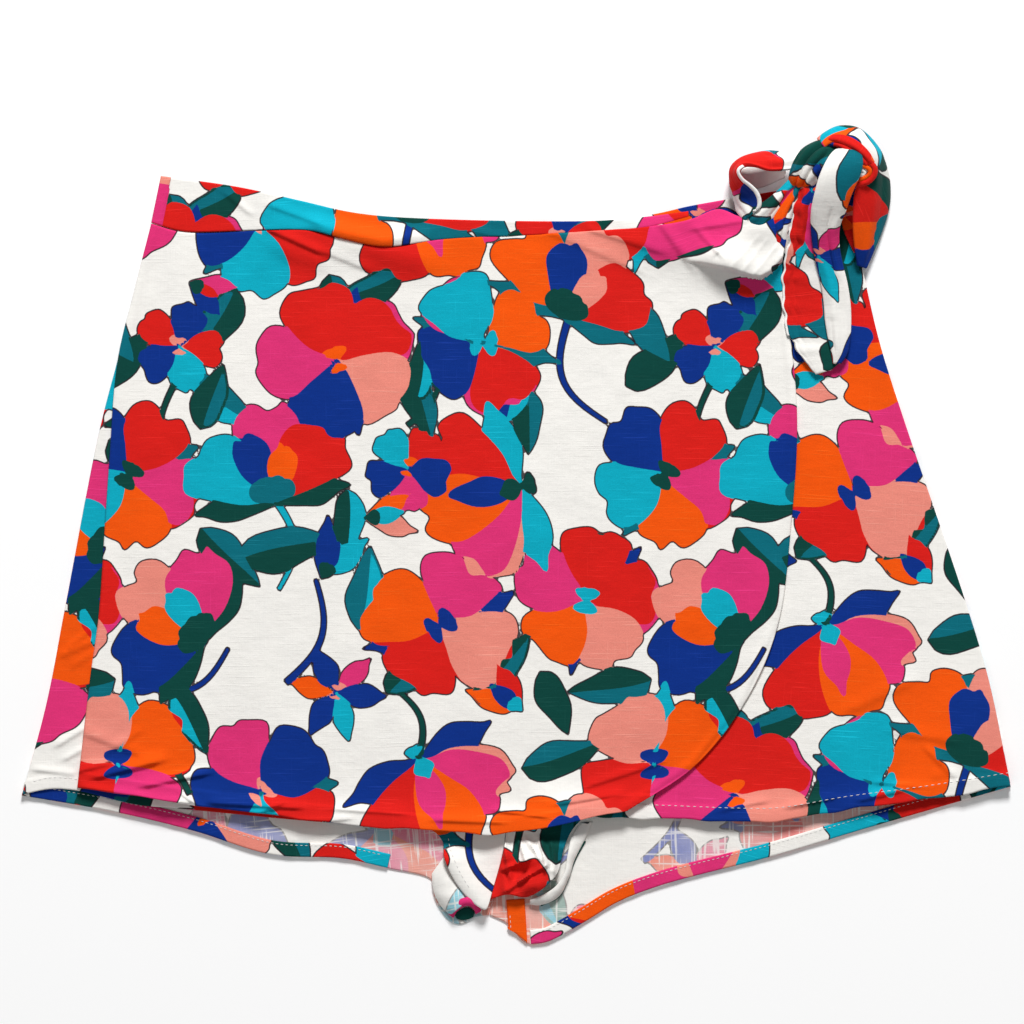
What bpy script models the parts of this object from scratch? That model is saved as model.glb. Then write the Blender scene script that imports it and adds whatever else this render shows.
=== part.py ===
"""Wrap skort laid flat on its back, all tied up: shorts, a wrap front in two overlapping panels and a bow.

The cloth is a wall of one thickness, and each cut piece is a closed solid. Layers lie on each other from
the back of the shorts up to the wrap panel. X runs across the waist, Y from the hems up to the waist and
Z up. Tables are in millimetres, in the garment's own plan, and the finished meshes are in metres.
"""

import math
from collections import namedtuple

import bmesh
import bpy
import numpy as np

# ---- driving dimensions, mm ----
MM = 0.001
WALL = 1.0          # cloth, with its weave's loft
GAP = 0.3           # air between two pieces
LAYER = WALL + GAP  # one more layer of cloth on the pile
HEM_TURN = 8.0      # width of the turned-up hem
CORNER_LIFT = LAYER  # the front layers ride over the turned hem at both lower corners

LIFT_FROM_X = 140.0
LIFT_FROM_Y = -50.0
LIFT_RUN = 75.0

Z_BACK = 0.0
Z_FRONT = Z_BACK + LAYER
Z_UNDER = Z_FRONT + LAYER
Z_WRAP = Z_UNDER + LAYER

# The wrap panel eases down from the under panel to the shorts, to the left of the under panel's free edge.
UNDER_EDGE_X = 0.0
EASE_RUN = 90.0

Point = namedtuple("Point", "x y")
Fold = namedtuple("Fold", "x0 y0 x1 y1 width height")
Rib = namedtuple("Rib", "ax ay az bx by bz bow")
Finish = namedtuple("Finish", "red green blue rough")

PRINT = Finish(0.86, 0.80, 0.74, 0.85)
PRINT_RED = Finish(0.74, 0.05, 0.04, 0.85)
PRINT_CORAL = Finish(0.86, 0.36, 0.30, 0.85)
PRINT_TEAL = Finish(0.02, 0.30, 0.32, 0.85)
WRONG_SIDE = Finish(0.78, 0.72, 0.70, 0.88)

# ---- edges of the pieces, each from left to right or from waist to hem ----
SIDE_LEFT = [
    Point(-203.6, 175.4),
    Point(-221.2, 103.3),
    Point(-233.0, 57.4),
    Point(-251.6, -38.6),
    Point(-262.3, -93.8),
    Point(-276.1, -145.3),
]
SIDE_RIGHT = [
    Point(184.0, 199.0),
    Point(194.3, 150.4),
    Point(204.4, 107.2),
    Point(217.8, 64.7),
    Point(251.4, -34.4),
    Point(265.2, -80.9),
    Point(277.5, -138.6),
]
CENTRE_SEAM = [
    Point(-8.0, 169.0),
    Point(-6.0, 0.0),
    Point(-5.3, -166.0),
    Point(-6.4, -176.0),
    Point(-9.5, -191.2),
    Point(-12.4, -199.4),
    Point(-14.3, -205.2),
    Point(-14.5, -212.2),
]
WAIST_TOP_LEFT = [
    Point(-198.2, 201.6),
    Point(-154.0, 195.2),
    Point(-120.4, 187.8),
    Point(-92.4, 181.4),
    Point(-64.4, 178.4),
    Point(42.0, 176.3),
    Point(72.8, 178.6),
    Point(97.0, 181.7),
]
WAIST_SEAM = [
    Point(-203.6, 175.4),
    Point(-186.0, 170.6),
    Point(-142.0, 171.2),
    Point(-114.8, 171.0),
    Point(-97.0, 166.6),
    Point(-74.0, 162.0),
    Point(-40.0, 166.0),
    Point(20.0, 169.0),
    Point(72.8, 172.6),
    Point(97.0, 178.6),
]
WRAP_CORNER = [
    Point(97.0, 177.0),
    Point(113.7, 183.0),
    Point(127.1, 178.4),
    Point(135.5, 180.0),
    Point(141.7, 185.6),
    Point(148.4, 191.9),
]
WRAP_EDGE = [
    Point(148.4, 191.9),
    Point(152.9, 174.4),
    Point(149.5, 153.7),
    Point(151.2, 132.4),
    Point(156.2, 93.2),
    Point(157.9, 60.0),
    Point(154.8, 9.2),
    Point(146.7, -51.2),
    Point(128.6, -93.2),
    Point(100.2, -129.1),
    Point(62.7, -153.7),
]
WRAP_SIDE = [
    Point(-203.6, 174.8),
    Point(-213.0, 138.0),
    Point(-222.3, 98.8),
    Point(-227.1, 42.0),
    Point(-229.3, 10.5),
    Point(-233.1, -44.8),
    Point(-237.7, -78.6),
    Point(-244.9, -140.8),
]
WRAP_HEM = [
    Point(-244.9, -140.8),
    Point(-211.7, -145.9),
    Point(-154.0, -154.3),
    Point(-78.4, -162.7),
    Point(-33.6, -166.3),
    Point(-5.6, -166.6),
    Point(16.8, -163.8),
    Point(47.6, -157.1),
    Point(62.7, -153.7),
]
UNDER_SIDE = [
    Point(UNDER_EDGE_X, 168.0),
    Point(UNDER_EDGE_X + 3.0, 20.0),
    Point(UNDER_EDGE_X + 16.0, -149.0),
]
UNDER_HEM = [
    Point(UNDER_EDGE_X + 16.0, -149.0),
    Point(49.3, -157.4),
    Point(81.2, -158.2),
    Point(121.5, -159.7),
    Point(145.6, -159.7),
    Point(185.9, -153.2),
    Point(234.1, -146.8),
    Point(277.2, -139.8),
]
BACK_WAIST = [
    Point(-203.0, 175.4),
    Point(-120.0, 168.0),
    Point(-8.0, 163.0),
    Point(75.0, 166.0),
    Point(130.0, 172.0),
    Point(187.5, 182.0),
]
BACK_BAND_TOP = [
    Point(-197.6, 200.6),
    Point(-120.0, 184.0),
    Point(-8.0, 173.0),
    Point(72.8, 179.4),
    Point(98.0, 184.8),
    Point(122.6, 189.2),
    Point(184.0, 199.6),
]
BACK_HEM_LEFT = [
    Point(-276.1, -145.3),
    Point(-225.1, -154.3),
    Point(-180.6, -164.9),
    Point(-136.6, -178.3),
    Point(-96.3, -180.6),
    Point(-71.4, -185.9),
    Point(-46.4, -193.0),
    Point(-45.0, -202.3),
    Point(-37.6, -214.6),
    Point(-30.2, -217.3),
    Point(-22.0, -213.4),
    Point(-14.65, -212.2),
]
BACK_HEM_RIGHT = [
    Point(-14.35, -212.2),
    Point(-4.5, -217.0),
    Point(6.7, -228.4),
    Point(18.5, -227.1),
    Point(40.3, -215.3),
    Point(57.1, -205.2),
    Point(81.5, -195.7),
    Point(145.6, -178.9),
    Point(202.0, -162.1),
    Point(277.5, -140.3),
]
FRONT_HEM_LEFT = [
    Point(-275.9, -144.6),
    Point(-259.8, -141.6),
    Point(-245.3, -142.5),
    Point(-211.7, -150.4),
    Point(-187.6, -152.6),
    Point(-110.0, -160.0),
    Point(-48.0, -164.0),
    Point(-40.6, -171.0),
    Point(-39.6, -180.0),
    Point(-32.8, -194.6),
    Point(-23.0, -205.6),
    Point(-16.4, -209.0),
    Point(-14.45, -205.2),
]
FRONT_HEM_RIGHT = [
    Point(-13.6, -203.4),
    Point(-4.5, -200.6),
    Point(6.7, -202.0),
    Point(17.0, -196.0),
    Point(24.0, -188.0),
    Point(27.0, -176.0),
    Point(34.0, -162.0),
    Point(52.0, -151.0),
    Point(120.0, -150.0),
    Point(190.0, -146.0),
    Point(277.2, -138.2),
]

# ---- what stands up from the lie of a piece: soft ridges, mm ----
WRAP_FOLDS = [
    Fold(-116.0, 170.0, -60.0, 157.0, 10.0, 3.2),
    Fold(-128.0, 160.0, -112.0, 154.0, 6.0, 1.6),
    Fold(78.0, 166.0, 128.0, 152.0, 13.0, 4.2),
    Fold(96.0, 178.0, 138.0, 173.0, 9.0, 3.4),
    Fold(122.0, 158.0, 146.0, 178.0, 11.0, 3.0),
    Fold(-44.0, -168.0, 24.0, -166.0, 18.0, 1.8),
]
FRONT_LEFT_FOLDS = [
    Fold(-37.0, -181.0, -20.0, -205.0, 10.0, 6.4),
]
FRONT_RIGHT_FOLDS = [
    Fold(20.0, -172.0, 18.0, -190.0, 7.0, 4.0),
    Fold(-2.0, -177.0, 12.0, -182.0, 5.0, 3.0),
    Fold(0.0, -197.0, 14.0, -195.0, 6.0, 5.0),
]

# The wrap panel's upper corner climbs into the knot.
CORNER_TOP = Point(150.0, 184.0)
CORNER_REACH = 62.0
CORNER_RISE = 6.0

# ---- straps: a row for each rib, from rail A to rail B, with the rise of the middle between them ----
GATHER = [
    Rib(131.0, 178.2, 14.4, 150.4, 163.0, 13.0, 3.6),
    Rib(138.0, 186.4, 15.6, 152.6, 174.0, 14.8, 3.2),
    Rib(146.5, 193.2, 15.8, 156.4, 184.5, 15.8, 2.4),
    Rib(153.5, 202.0, 15.4, 162.8, 196.4, 16.0, 2.0),
]
LOOP_LEFT = [
    Rib(158.0, 205.5, 17.0, 158.5, 216.8, 10.0, 1.8),
    Rib(149.0, 204.6, 20.0, 149.5, 214.6, 11.0, 1.8),
    Rib(140.0, 205.3, 22.5, 140.4, 215.6, 11.5, 2.0),
    Rib(131.0, 206.6, 24.2, 131.6, 213.4, 10.0, 2.4),
    Rib(126.4, 205.2, 24.6, 124.4, 208.4, 4.4, 3.0),
    Rib(128.4, 200.2, 23.4, 121.0, 200.6, 1.8, 3.0),
    Rib(133.4, 194.6, 21.6, 121.0, 192.0, 3.4, 2.6),
    Rib(136.8, 189.4, 19.2, 123.0, 184.4, 10.6, 1.6),
    Rib(136.4, 185.6, 18.4, 127.2, 178.6, 14.8, 0.8),
]
LOOP_LEFT_FLOOR = [
    Rib(123.4, 204.6, 3.0, 123.4, 191.2, 4.4, -0.3),
    Rib(138.0, 208.4, 2.6, 139.6, 195.4, 6.0, -0.6),
    Rib(152.0, 208.4, 4.0, 150.8, 200.4, 8.6, -0.4),
]
LOOP_RIGHT = [
    Rib(176.4, 215.0, 25.2, 170.6, 222.8, 17.6, 1.4),
    Rib(183.0, 216.4, 26.6, 179.4, 227.6, 15.4, 2.8),
    Rib(190.4, 214.8, 27.0, 192.0, 226.2, 14.4, 3.4),
    Rib(193.6, 207.6, 26.0, 203.4, 214.4, 8.4, 3.6),
    Rib(190.6, 197.0, 24.0, 209.2, 200.0, 3.4, 3.6),
    Rib(188.4, 186.0, 21.0, 209.8, 187.6, 1.8, 3.4),
    Rib(187.8, 174.6, 17.4, 206.8, 175.4, 2.0, 3.0),
    Rib(189.2, 162.6, 12.4, 201.4, 162.6, 3.2, 2.2),
    Rib(191.4, 151.4, 6.8, 196.4, 150.2, 4.6, 0.8),
]
LOOP_RIGHT_FLOOR = [
    Rib(189.5, 158.5, 5.0, 193.6, 159.6, 4.8, 0.2),
    Rib(183.5, 172.0, 5.6, 196.6, 174.0, 4.6, 0.5),
    Rib(181.0, 188.0, 6.0, 199.6, 189.0, 3.0, 0.6),
    Rib(178.5, 203.0, 8.0, 193.6, 206.0, 5.0, 0.6),
]
KNOT = [
    Rib(173.4, 220.6, 12.4, 188.4, 212.4, 15.4, 1.6),
    Rib(166.0, 219.0, 18.6, 183.6, 208.4, 22.0, 2.6),
    Rib(159.4, 214.8, 22.4, 178.0, 205.2, 26.6, 3.2),
    Rib(154.4, 207.8, 20.6, 172.4, 202.2, 25.0, 3.2),
    Rib(152.4, 200.0, 17.6, 167.4, 198.6, 22.2, 2.8),
]
TAIL = [
    Rib(176.2, 214.4, 29.0, 192.4, 212.6, 28.4, 1.2),
    Rib(171.4, 206.4, 32.0, 193.2, 205.4, 30.6, 2.0),
    Rib(167.4, 196.0, 31.0, 189.6, 195.6, 29.4, 2.4),
    Rib(165.6, 185.0, 26.6, 184.6, 184.4, 25.2, 2.4),
    Rib(164.6, 174.0, 20.4, 181.4, 173.4, 19.6, 2.4),
    Rib(165.6, 162.0, 15.2, 181.2, 162.0, 14.2, 2.2),
    Rib(168.0, 148.0, 11.6, 184.0, 148.0, 10.4, 2.0),
    Rib(171.4, 132.0, 9.8, 187.0, 132.0, 8.4, 1.8),
    Rib(174.0, 118.0, 9.4, 187.8, 117.0, 7.8, 1.6),
    Rib(176.8, 106.0, 9.0, 186.2, 106.6, 7.8, 1.0),
    Rib(178.2, 98.0, 8.4, 182.8, 100.4, 8.0, 0.4),
]
TAIL_UNDER = [
    Rib(165.2, 195.4, 18.6, 172.6, 193.0, 21.0, 1.4),
    Rib(159.4, 186.0, 18.2, 170.4, 184.0, 20.8, 1.6),
    Rib(155.4, 175.4, 16.4, 169.4, 174.0, 16.6, 1.6),
    Rib(152.8, 164.0, 12.6, 170.4, 163.0, 12.0, 1.2),
    Rib(150.2, 150.0, 9.4, 172.0, 149.0, 9.2, 0.8),
    Rib(149.8, 136.0, 7.2, 174.6, 135.0, 7.6, 0.6),
    Rib(151.2, 122.0, 6.5, 177.6, 121.0, 6.9, 0.4),
    Rib(155.4, 108.6, 6.3, 181.0, 109.0, 6.5, 0.3),
    Rib(162.4, 98.0, 6.3, 182.6, 102.0, 6.4, 0.2),
    Rib(168.4, 90.6, 6.3, 178.0, 94.6, 6.3, 0.1),
]
ROLL_LEFT = [
    Rib(-39.0, -178.4, 2.0, -46.6, -189.0, 1.9, 0.6),
    Rib(-35.0, -187.8, 3.4, -45.6, -198.6, 1.9, 2.0),
    Rib(-29.8, -196.0, 3.8, -41.8, -206.6, 2.0, 3.2),
    Rib(-24.6, -202.6, 3.8, -36.2, -212.2, 2.1, 4.2),
]
CURL_RIGHT = [
    Rib(36.6, -160.6, 1.6, 43.4, -160.0, 1.5, 0.0),
    Rib(31.6, -168.6, 3.6, 38.8, -170.6, 1.6, 1.8),
    Rib(29.4, -178.0, 6.0, 33.4, -180.4, 1.8, 2.4),
    Rib(27.6, -188.0, 6.4, 29.4, -191.4, 1.8, 2.4),
    Rib(22.6, -196.0, 6.6, 24.4, -201.4, 1.8, 2.6),
    Rib(13.6, -201.6, 6.0, 14.2, -206.4, 2.8, 1.6),
    Rib(8.4, -203.4, 4.4, 8.2, -206.0, 2.8, 0.8),
]


def smoothstep(share):
    """A soft step from 0 to 1."""
    share = np.clip(share, 0.0, 1.0)
    return share * share * (3.0 - 2.0 * share)


def through(rows, count, spread=None):
    """Count + 1 points along the smooth curve through the rows, even unless their shares are given."""
    knots = np.array(rows, dtype=float)
    chord = np.linalg.norm(np.diff(knots[:, : min(3, knots.shape[1])], axis=0), axis=1)
    at = np.concatenate([[0.0], np.cumsum(np.sqrt(chord))])
    slope = np.gradient(knots, at, axis=0)
    fine = np.linspace(0.0, at[-1], 24 * len(knots))
    cell = np.clip(np.searchsorted(at, fine, side="right") - 1, 0, len(knots) - 2)
    run = (at[cell + 1] - at[cell])[:, None]
    t = (fine - at[cell])[:, None] / run
    start, end = knots[cell], knots[cell + 1]
    curve = (
        start * (2 * t**3 - 3 * t**2 + 1)
        + slope[cell] * run * (t**3 - 2 * t**2 + t)
        + end * (3 * t**2 - 2 * t**3)
        + slope[cell + 1] * run * (t**3 - t**2)
    )
    walked = np.linalg.norm(np.diff(curve[:, : min(3, curve.shape[1])], axis=0), axis=1)
    walked = np.concatenate([[0.0], np.cumsum(walked)])
    stops = np.linspace(0.0, 1.0, count + 1) if spread is None else spread
    return np.stack([np.interp(stops * walked[-1], walked, column) for column in curve.T], axis=1)


def shares(count, crowd):
    """Shares from 0 to 1 that crowd towards 1, or towards 0 where crowd is negative."""
    even = np.linspace(0.0, 1.0, count + 1)
    return 1.0 - (1.0 - even) ** (1.0 + crowd) if crowd >= 0.0 else even ** (1.0 - crowd)


def patch(top, foot, left, right, columns, rows, crowd=(0.0, 0.0)):
    """A plan filled in between four edges: an array of (rows + 1, columns + 1, 2)."""
    across_shares, down_shares = shares(columns, crowd[0]), shares(rows, crowd[1])
    top_line, foot_line = through(top, columns, across_shares), through(foot, columns, across_shares)
    left_line, right_line = through(left, rows, down_shares), through(right, rows, down_shares)
    s = across_shares[None, :, None]
    v = down_shares[:, None, None]
    along = (1 - v) * top_line[None] + v * foot_line[None]
    across = (1 - s) * left_line[:, None] + s * right_line[:, None]
    corners = (
        (1 - s) * (1 - v) * top_line[0]
        + s * (1 - v) * top_line[-1]
        + (1 - s) * v * foot_line[0]
        + s * v * foot_line[-1]
    )
    return along + across - corners


def ridge(x, y, fold):
    """The rise of one soft fold, which dies out past its two ends."""
    dx, dy = fold.x1 - fold.x0, fold.y1 - fold.y0
    length = math.hypot(dx, dy)
    along = ((x - fold.x0) * dx + (y - fold.y0) * dy) / length
    aside = ((x - fold.x0) * dy - (y - fold.y0) * dx) / length
    past = np.maximum(0.0, np.maximum(-along, along - length))
    return fold.height * np.exp(-((aside / fold.width) ** 2) - (past / (1.6 * fold.width)) ** 2)


def corner_lift(x, y):
    """How far the front layers rise over the turned hem at the lower corners."""
    out = smoothstep((np.abs(x) - LIFT_FROM_X) / LIFT_RUN)
    down = smoothstep((LIFT_FROM_Y - y) / LIFT_RUN)
    return CORNER_LIFT * out * down


def front_height(folds):
    """The lie of a front leg of the shorts."""

    def height(x, y):
        below = smoothstep((-170.0 - y) / 12.0)
        return Z_FRONT + corner_lift(x, y) + below * sum(ridge(x, y, fold) for fold in folds)

    return height


def under_height(x, y):
    """The lie of the under panel, a layer above the shorts."""
    return Z_UNDER + corner_lift(x, y)


def wrap_height(x, y):
    """The lie of the wrap panel: down onto the shorts at the left, up into the knot at its corner."""
    off_under = smoothstep((UNDER_EDGE_X - 6.0 - x) / EASE_RUN)
    reach = np.hypot(x - CORNER_TOP.x, y - CORNER_TOP.y) / CORNER_REACH
    corner = CORNER_RISE * smoothstep(1.0 - reach)
    folds = sum(ridge(x, y, fold) for fold in WRAP_FOLDS)
    return Z_WRAP - LAYER * off_under + corner_lift(x, y) + corner + folds


def flat(z):
    """A height that is the same all over."""
    return lambda x, y: np.full_like(x, z)


def material(name, finish):
    """A matt cloth finish."""
    made = bpy.data.materials.new(name)
    made.use_nodes = True
    shader = made.node_tree.nodes["Principled BSDF"]
    shader.inputs["Base Color"].default_value = (finish.red, finish.green, finish.blue, 1.0)
    shader.inputs["Roughness"].default_value = finish.rough
    shader.inputs["Metallic"].default_value = 0.0
    return made


def grid_mesh(points):
    """A bmesh grid whose vertices are the rows and columns of points, in metres."""
    rows, columns = points.shape[0] - 1, points.shape[1] - 1
    bm = bmesh.new()
    bmesh.ops.create_grid(bm, x_segments=columns, y_segments=rows, size=1.0)
    bm.verts.ensure_lookup_table()
    for vert, place in zip(bm.verts, points.reshape(-1, 3)):
        vert.co = place * MM
    return bm


def keep(name, bm, finish):
    """Turn the faces outwards and make the bmesh a named object of its own finish."""
    bmesh.ops.recalc_face_normals(bm, faces=bm.faces[:])
    mesh = bpy.data.meshes.new(name)
    bm.to_mesh(mesh)
    bm.free()
    mesh.materials.append(material(name + "_cloth", finish))
    mesh.shade_smooth()
    mesh.set_sharp_from_angle(angle=math.radians(40.0))
    made = bpy.data.objects.new(name, mesh)
    bpy.context.collection.objects.link(made)
    return made


def sheet(name, plan, height, finish):
    """A laid panel: its plan at its height, a wall thick."""
    z = height(plan[..., 0], plan[..., 1])
    bm = grid_mesh(np.dstack([plan, z]))
    made = bmesh.ops.extrude_face_region(bm, geom=bm.faces[:])
    top = [item for item in made["geom"] if isinstance(item, bmesh.types.BMVert)]
    bmesh.ops.translate(bm, verts=top, vec=(0.0, 0.0, WALL * MM))
    return keep(name, bm, finish)


def strap(name, ribs, finish, along=16, across=5):
    """A strap through its ribs: two rails, the rise between them, and a wall on its upper side."""
    spine = through(ribs, along)
    rail_a, rail_b, bow = spine[:, 0:3], spine[:, 3:6], spine[:, 6]
    share = np.linspace(0.0, 1.0, across + 1)
    middle = 0.5 * (rail_a + rail_b)
    run = np.gradient(middle, axis=0)
    normal = np.cross(rail_b - rail_a, run)
    normal /= np.linalg.norm(normal, axis=1)[:, None]
    normal *= np.sign(normal[len(normal) // 2, 2])
    flat_part = rail_a[:, None] * (1 - share)[None, :, None] + rail_b[:, None] * share[None, :, None]
    rise = (4 * share * (1 - share))[None, :, None] * bow[:, None, None] * normal[:, None]
    made = keep(name, grid_mesh(flat_part + rise), finish)
    shell = made.modifiers.new("wall", "SOLIDIFY")
    shell.thickness = WALL * MM
    shell.offset = 0.0
    shell.use_even_offset = True
    shell.use_rim = True
    return made


def hem_strip(name, edge, finish, z, columns):
    """A turned-up hem: a strip of even width inside an edge, on the panel's wrong side."""
    line = through(edge, columns)
    run = np.gradient(line, axis=0)
    run /= np.linalg.norm(run, axis=1)[:, None]
    inward = np.stack([-run[:, 1], run[:, 0]], axis=1)
    outer, inner = line + inward * 0.4, line + inward * HEM_TURN
    plan = np.stack([inner, outer])
    return sheet(name, plan, flat(z), finish)


def stretch(edge, from_x, to_x, count=8):
    """Points on the smooth curve through an edge, over one stretch of its width."""
    curve = through(edge, 400)
    across = np.linspace(from_x, to_x, count)
    return [Point(x, float(np.interp(x, curve[:, 0], curve[:, 1]))) for x in across]


def seam_down(edge, from_y, to_y, aside, count=12):
    """Points on the smooth curve through a seam, over one stretch of its length, moved aside."""
    curve = through(edge, 400)[::-1]
    down = np.linspace(from_y, to_y, count)
    return [Point(float(np.interp(y, curve[:, 1], curve[:, 0])) + aside, y) for y in down]


def lowered(edge, drop):
    """The same edge, moved down the garment."""
    return [Point(point.x, point.y - drop) for point in edge]


def build_back():
    """The back of the shorts lies lowest, with its turned hems and its waistband."""
    half = GAP / 2
    waist_left = stretch(BACK_WAIST, BACK_WAIST[0].x, CENTRE_SEAM[0].x - half)
    waist_right = stretch(BACK_WAIST, CENTRE_SEAM[0].x + half, BACK_WAIST[-1].x)
    back_side_left = [waist_left[0]] + SIDE_LEFT[1:]
    back_side_right = [waist_right[-1]] + SIDE_RIGHT[1:-1] + [BACK_HEM_RIGHT[-1]]
    seam_left = seam_down(CENTRE_SEAM, waist_left[-1].y, BACK_HEM_LEFT[-1].y, -half)
    seam_right = seam_down(CENTRE_SEAM, waist_right[0].y, BACK_HEM_RIGHT[0].y, half)
    left = patch(waist_left, BACK_HEM_LEFT, back_side_left, seam_left, 26, 5)
    right = patch(waist_right, BACK_HEM_RIGHT, seam_right, back_side_right, 24, 5)
    sheet("shorts_back_left", left, flat(Z_BACK), WRONG_SIDE)
    sheet("shorts_back_right", right, flat(Z_BACK), WRONG_SIDE)
    band_left = [BACK_BAND_TOP[0], Point(-202.8, 175.7)]
    band_right = [BACK_BAND_TOP[-1], Point(187.4, 182.3)]
    band_foot = lowered(BACK_WAIST, -2 * GAP)
    band = patch(BACK_BAND_TOP, band_foot, band_left, band_right, 24, 1)
    sheet("waistband_back", band, flat(Z_BACK), PRINT_CORAL)
    hem_strip("hem_back_left", BACK_HEM_LEFT[:6], PRINT, Z_FRONT, 14)
    hem_strip("hem_back_right", BACK_HEM_RIGHT[3:], PRINT, Z_FRONT, 16)
    inseam = [Point(5.4, -204.0), Point(5.8, -214.0), Point(4.4, -225.6)]
    hem_strip("hem_inseam_right", inseam[::-1], PRINT_CORAL, Z_FRONT, 4)


def build_front():
    """The front legs of the shorts, whose inner legs crumple below the wrap."""
    half = GAP / 2
    waist_left = [Point(-203.0, 172.0), Point(-110.0, 165.0), Point(-8.0 - half, 163.0)]
    waist_right = [Point(-8.0 + half, 163.0), Point(75.0, 165.0), Point(188.5, 180.0)]
    side_left = [waist_left[0]] + SIDE_LEFT[1:-1] + [FRONT_HEM_LEFT[0]]
    side_right = [waist_right[-1]] + SIDE_RIGHT[1:-1] + [FRONT_HEM_RIGHT[-1]]
    seam_left = seam_down(CENTRE_SEAM, waist_left[-1].y, FRONT_HEM_LEFT[-1].y, -half)
    seam_right = seam_down(CENTRE_SEAM, waist_right[0].y, FRONT_HEM_RIGHT[0].y, half)
    left = patch(waist_left, FRONT_HEM_LEFT, side_left, seam_left, 17, 15, (0.9, 0.9))
    right = patch(waist_right, FRONT_HEM_RIGHT, seam_right, side_right, 17, 15, (-0.9, 0.9))
    sheet("shorts_front_left", left, front_height(FRONT_LEFT_FOLDS), PRINT)
    sheet("shorts_front_right", right, front_height(FRONT_RIGHT_FOLDS), PRINT)
    strap("inseam_roll_left", ROLL_LEFT, WRONG_SIDE, along=6, across=5)
    strap("hem_front_right", CURL_RIGHT, PRINT, along=10, across=3)


def build_wrap():
    """The two wrap panels and the waistband that takes them."""
    under_top = [UNDER_SIDE[0], Point(75.0, 169.0), Point(187.8, 181.0)]
    under_right = [under_top[-1]] + SIDE_RIGHT[1:-1] + [UNDER_HEM[-1]]
    under = patch(under_top, UNDER_HEM, UNDER_SIDE, under_right, 14, 14)
    sheet("under_panel", under, under_height, PRINT_TEAL)
    wrap_top = lowered(WAIST_SEAM[:-1], 2 * GAP) + WRAP_CORNER
    wrap = patch(wrap_top, WRAP_HEM, WRAP_SIDE, WRAP_EDGE, 24, 18)
    sheet("wrap_panel", wrap, wrap_height, PRINT)
    band = patch(
        WAIST_TOP_LEFT,
        WAIST_SEAM,
        [WAIST_TOP_LEFT[0], WAIST_SEAM[0]],
        [WAIST_TOP_LEFT[-1], WAIST_SEAM[-1]],
        28,
        2,
    )
    sheet("waistband_front", band, wrap_height, PRINT_CORAL)


def build_tie():
    """The tie: gathered out of the wrap's corner, through the knot, into two loops and a hanging tail."""
    strap("tie_gather", GATHER, PRINT, along=8)
    strap("tie_loop_left", LOOP_LEFT, PRINT_RED, along=18)
    strap("tie_loop_left_floor", LOOP_LEFT_FLOOR, PRINT, along=6, across=4)
    strap("tie_loop_right", LOOP_RIGHT, PRINT_RED, along=20)
    strap("tie_loop_right_floor", LOOP_RIGHT_FLOOR, PRINT, along=8, across=4)
    strap("tie_knot", KNOT, PRINT_TEAL, along=12)
    strap("tie_tail", TAIL, PRINT_CORAL, along=18)
    strap("tie_tail_under", TAIL_UNDER, PRINT, along=16)


def centre(objects):
    """Move the meshes so that the garment's box is centred on the origin and rests on z = 0."""
    bpy.context.view_layer.update()
    corners = np.array([(o.matrix_world @ v.co)[:] for o in objects for v in o.data.vertices])
    low, high = corners.min(axis=0), corners.max(axis=0)
    shift = (-0.5 * (low[0] + high[0]), -0.5 * (low[1] + high[1]), -low[2])
    for item in objects:
        for vert in item.data.vertices:
            vert.co.x += shift[0]
            vert.co.y += shift[1]
            vert.co.z += shift[2]


def main():
    """Build the garment from the back of the shorts up to the tie."""
    for item in list(bpy.data.objects):
        bpy.data.objects.remove(item, do_unlink=True)
    build_back()
    build_front()
    build_wrap()
    build_tie()
    centre([item for item in bpy.data.objects if item.type == "MESH"])


main()
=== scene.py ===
"""A wrap skort laid flat on its back, tied in a bow at one hip: its cloth, print, creases and stitches.

Every piece of cloth is a thin closed wall on the lie of its cut piece. Tables are in millimetres in the
garment's own plan, X across the waist, Y from the hems up to the waist and Z up; meshes are in metres.
"""

import logging
import math
from collections.abc import Callable, Sequence
from dataclasses import dataclass, field
from enum import Enum
from typing import Any, NamedTuple

import bmesh
import bpy
import numpy as np
from mathutils import Matrix, Vector


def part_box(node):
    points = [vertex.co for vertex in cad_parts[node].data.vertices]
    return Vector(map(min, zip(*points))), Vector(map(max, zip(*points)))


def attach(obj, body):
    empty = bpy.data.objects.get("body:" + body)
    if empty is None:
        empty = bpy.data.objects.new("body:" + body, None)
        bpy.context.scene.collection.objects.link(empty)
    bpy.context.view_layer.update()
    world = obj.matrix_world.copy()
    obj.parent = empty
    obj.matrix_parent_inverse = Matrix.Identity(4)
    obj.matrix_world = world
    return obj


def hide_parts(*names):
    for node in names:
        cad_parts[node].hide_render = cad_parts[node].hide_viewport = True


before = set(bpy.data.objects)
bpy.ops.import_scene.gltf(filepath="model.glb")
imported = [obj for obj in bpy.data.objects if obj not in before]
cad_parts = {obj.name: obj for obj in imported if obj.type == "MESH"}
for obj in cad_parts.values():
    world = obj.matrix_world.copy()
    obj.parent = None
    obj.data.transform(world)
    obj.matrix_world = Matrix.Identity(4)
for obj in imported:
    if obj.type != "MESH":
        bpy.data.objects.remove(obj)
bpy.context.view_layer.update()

logging.basicConfig(level=logging.INFO, format="%(levelname)s %(message)s")
LOG = logging.getLogger("skort")

Array = np.ndarray
Height = Callable[[Array, Array], Array]

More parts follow.
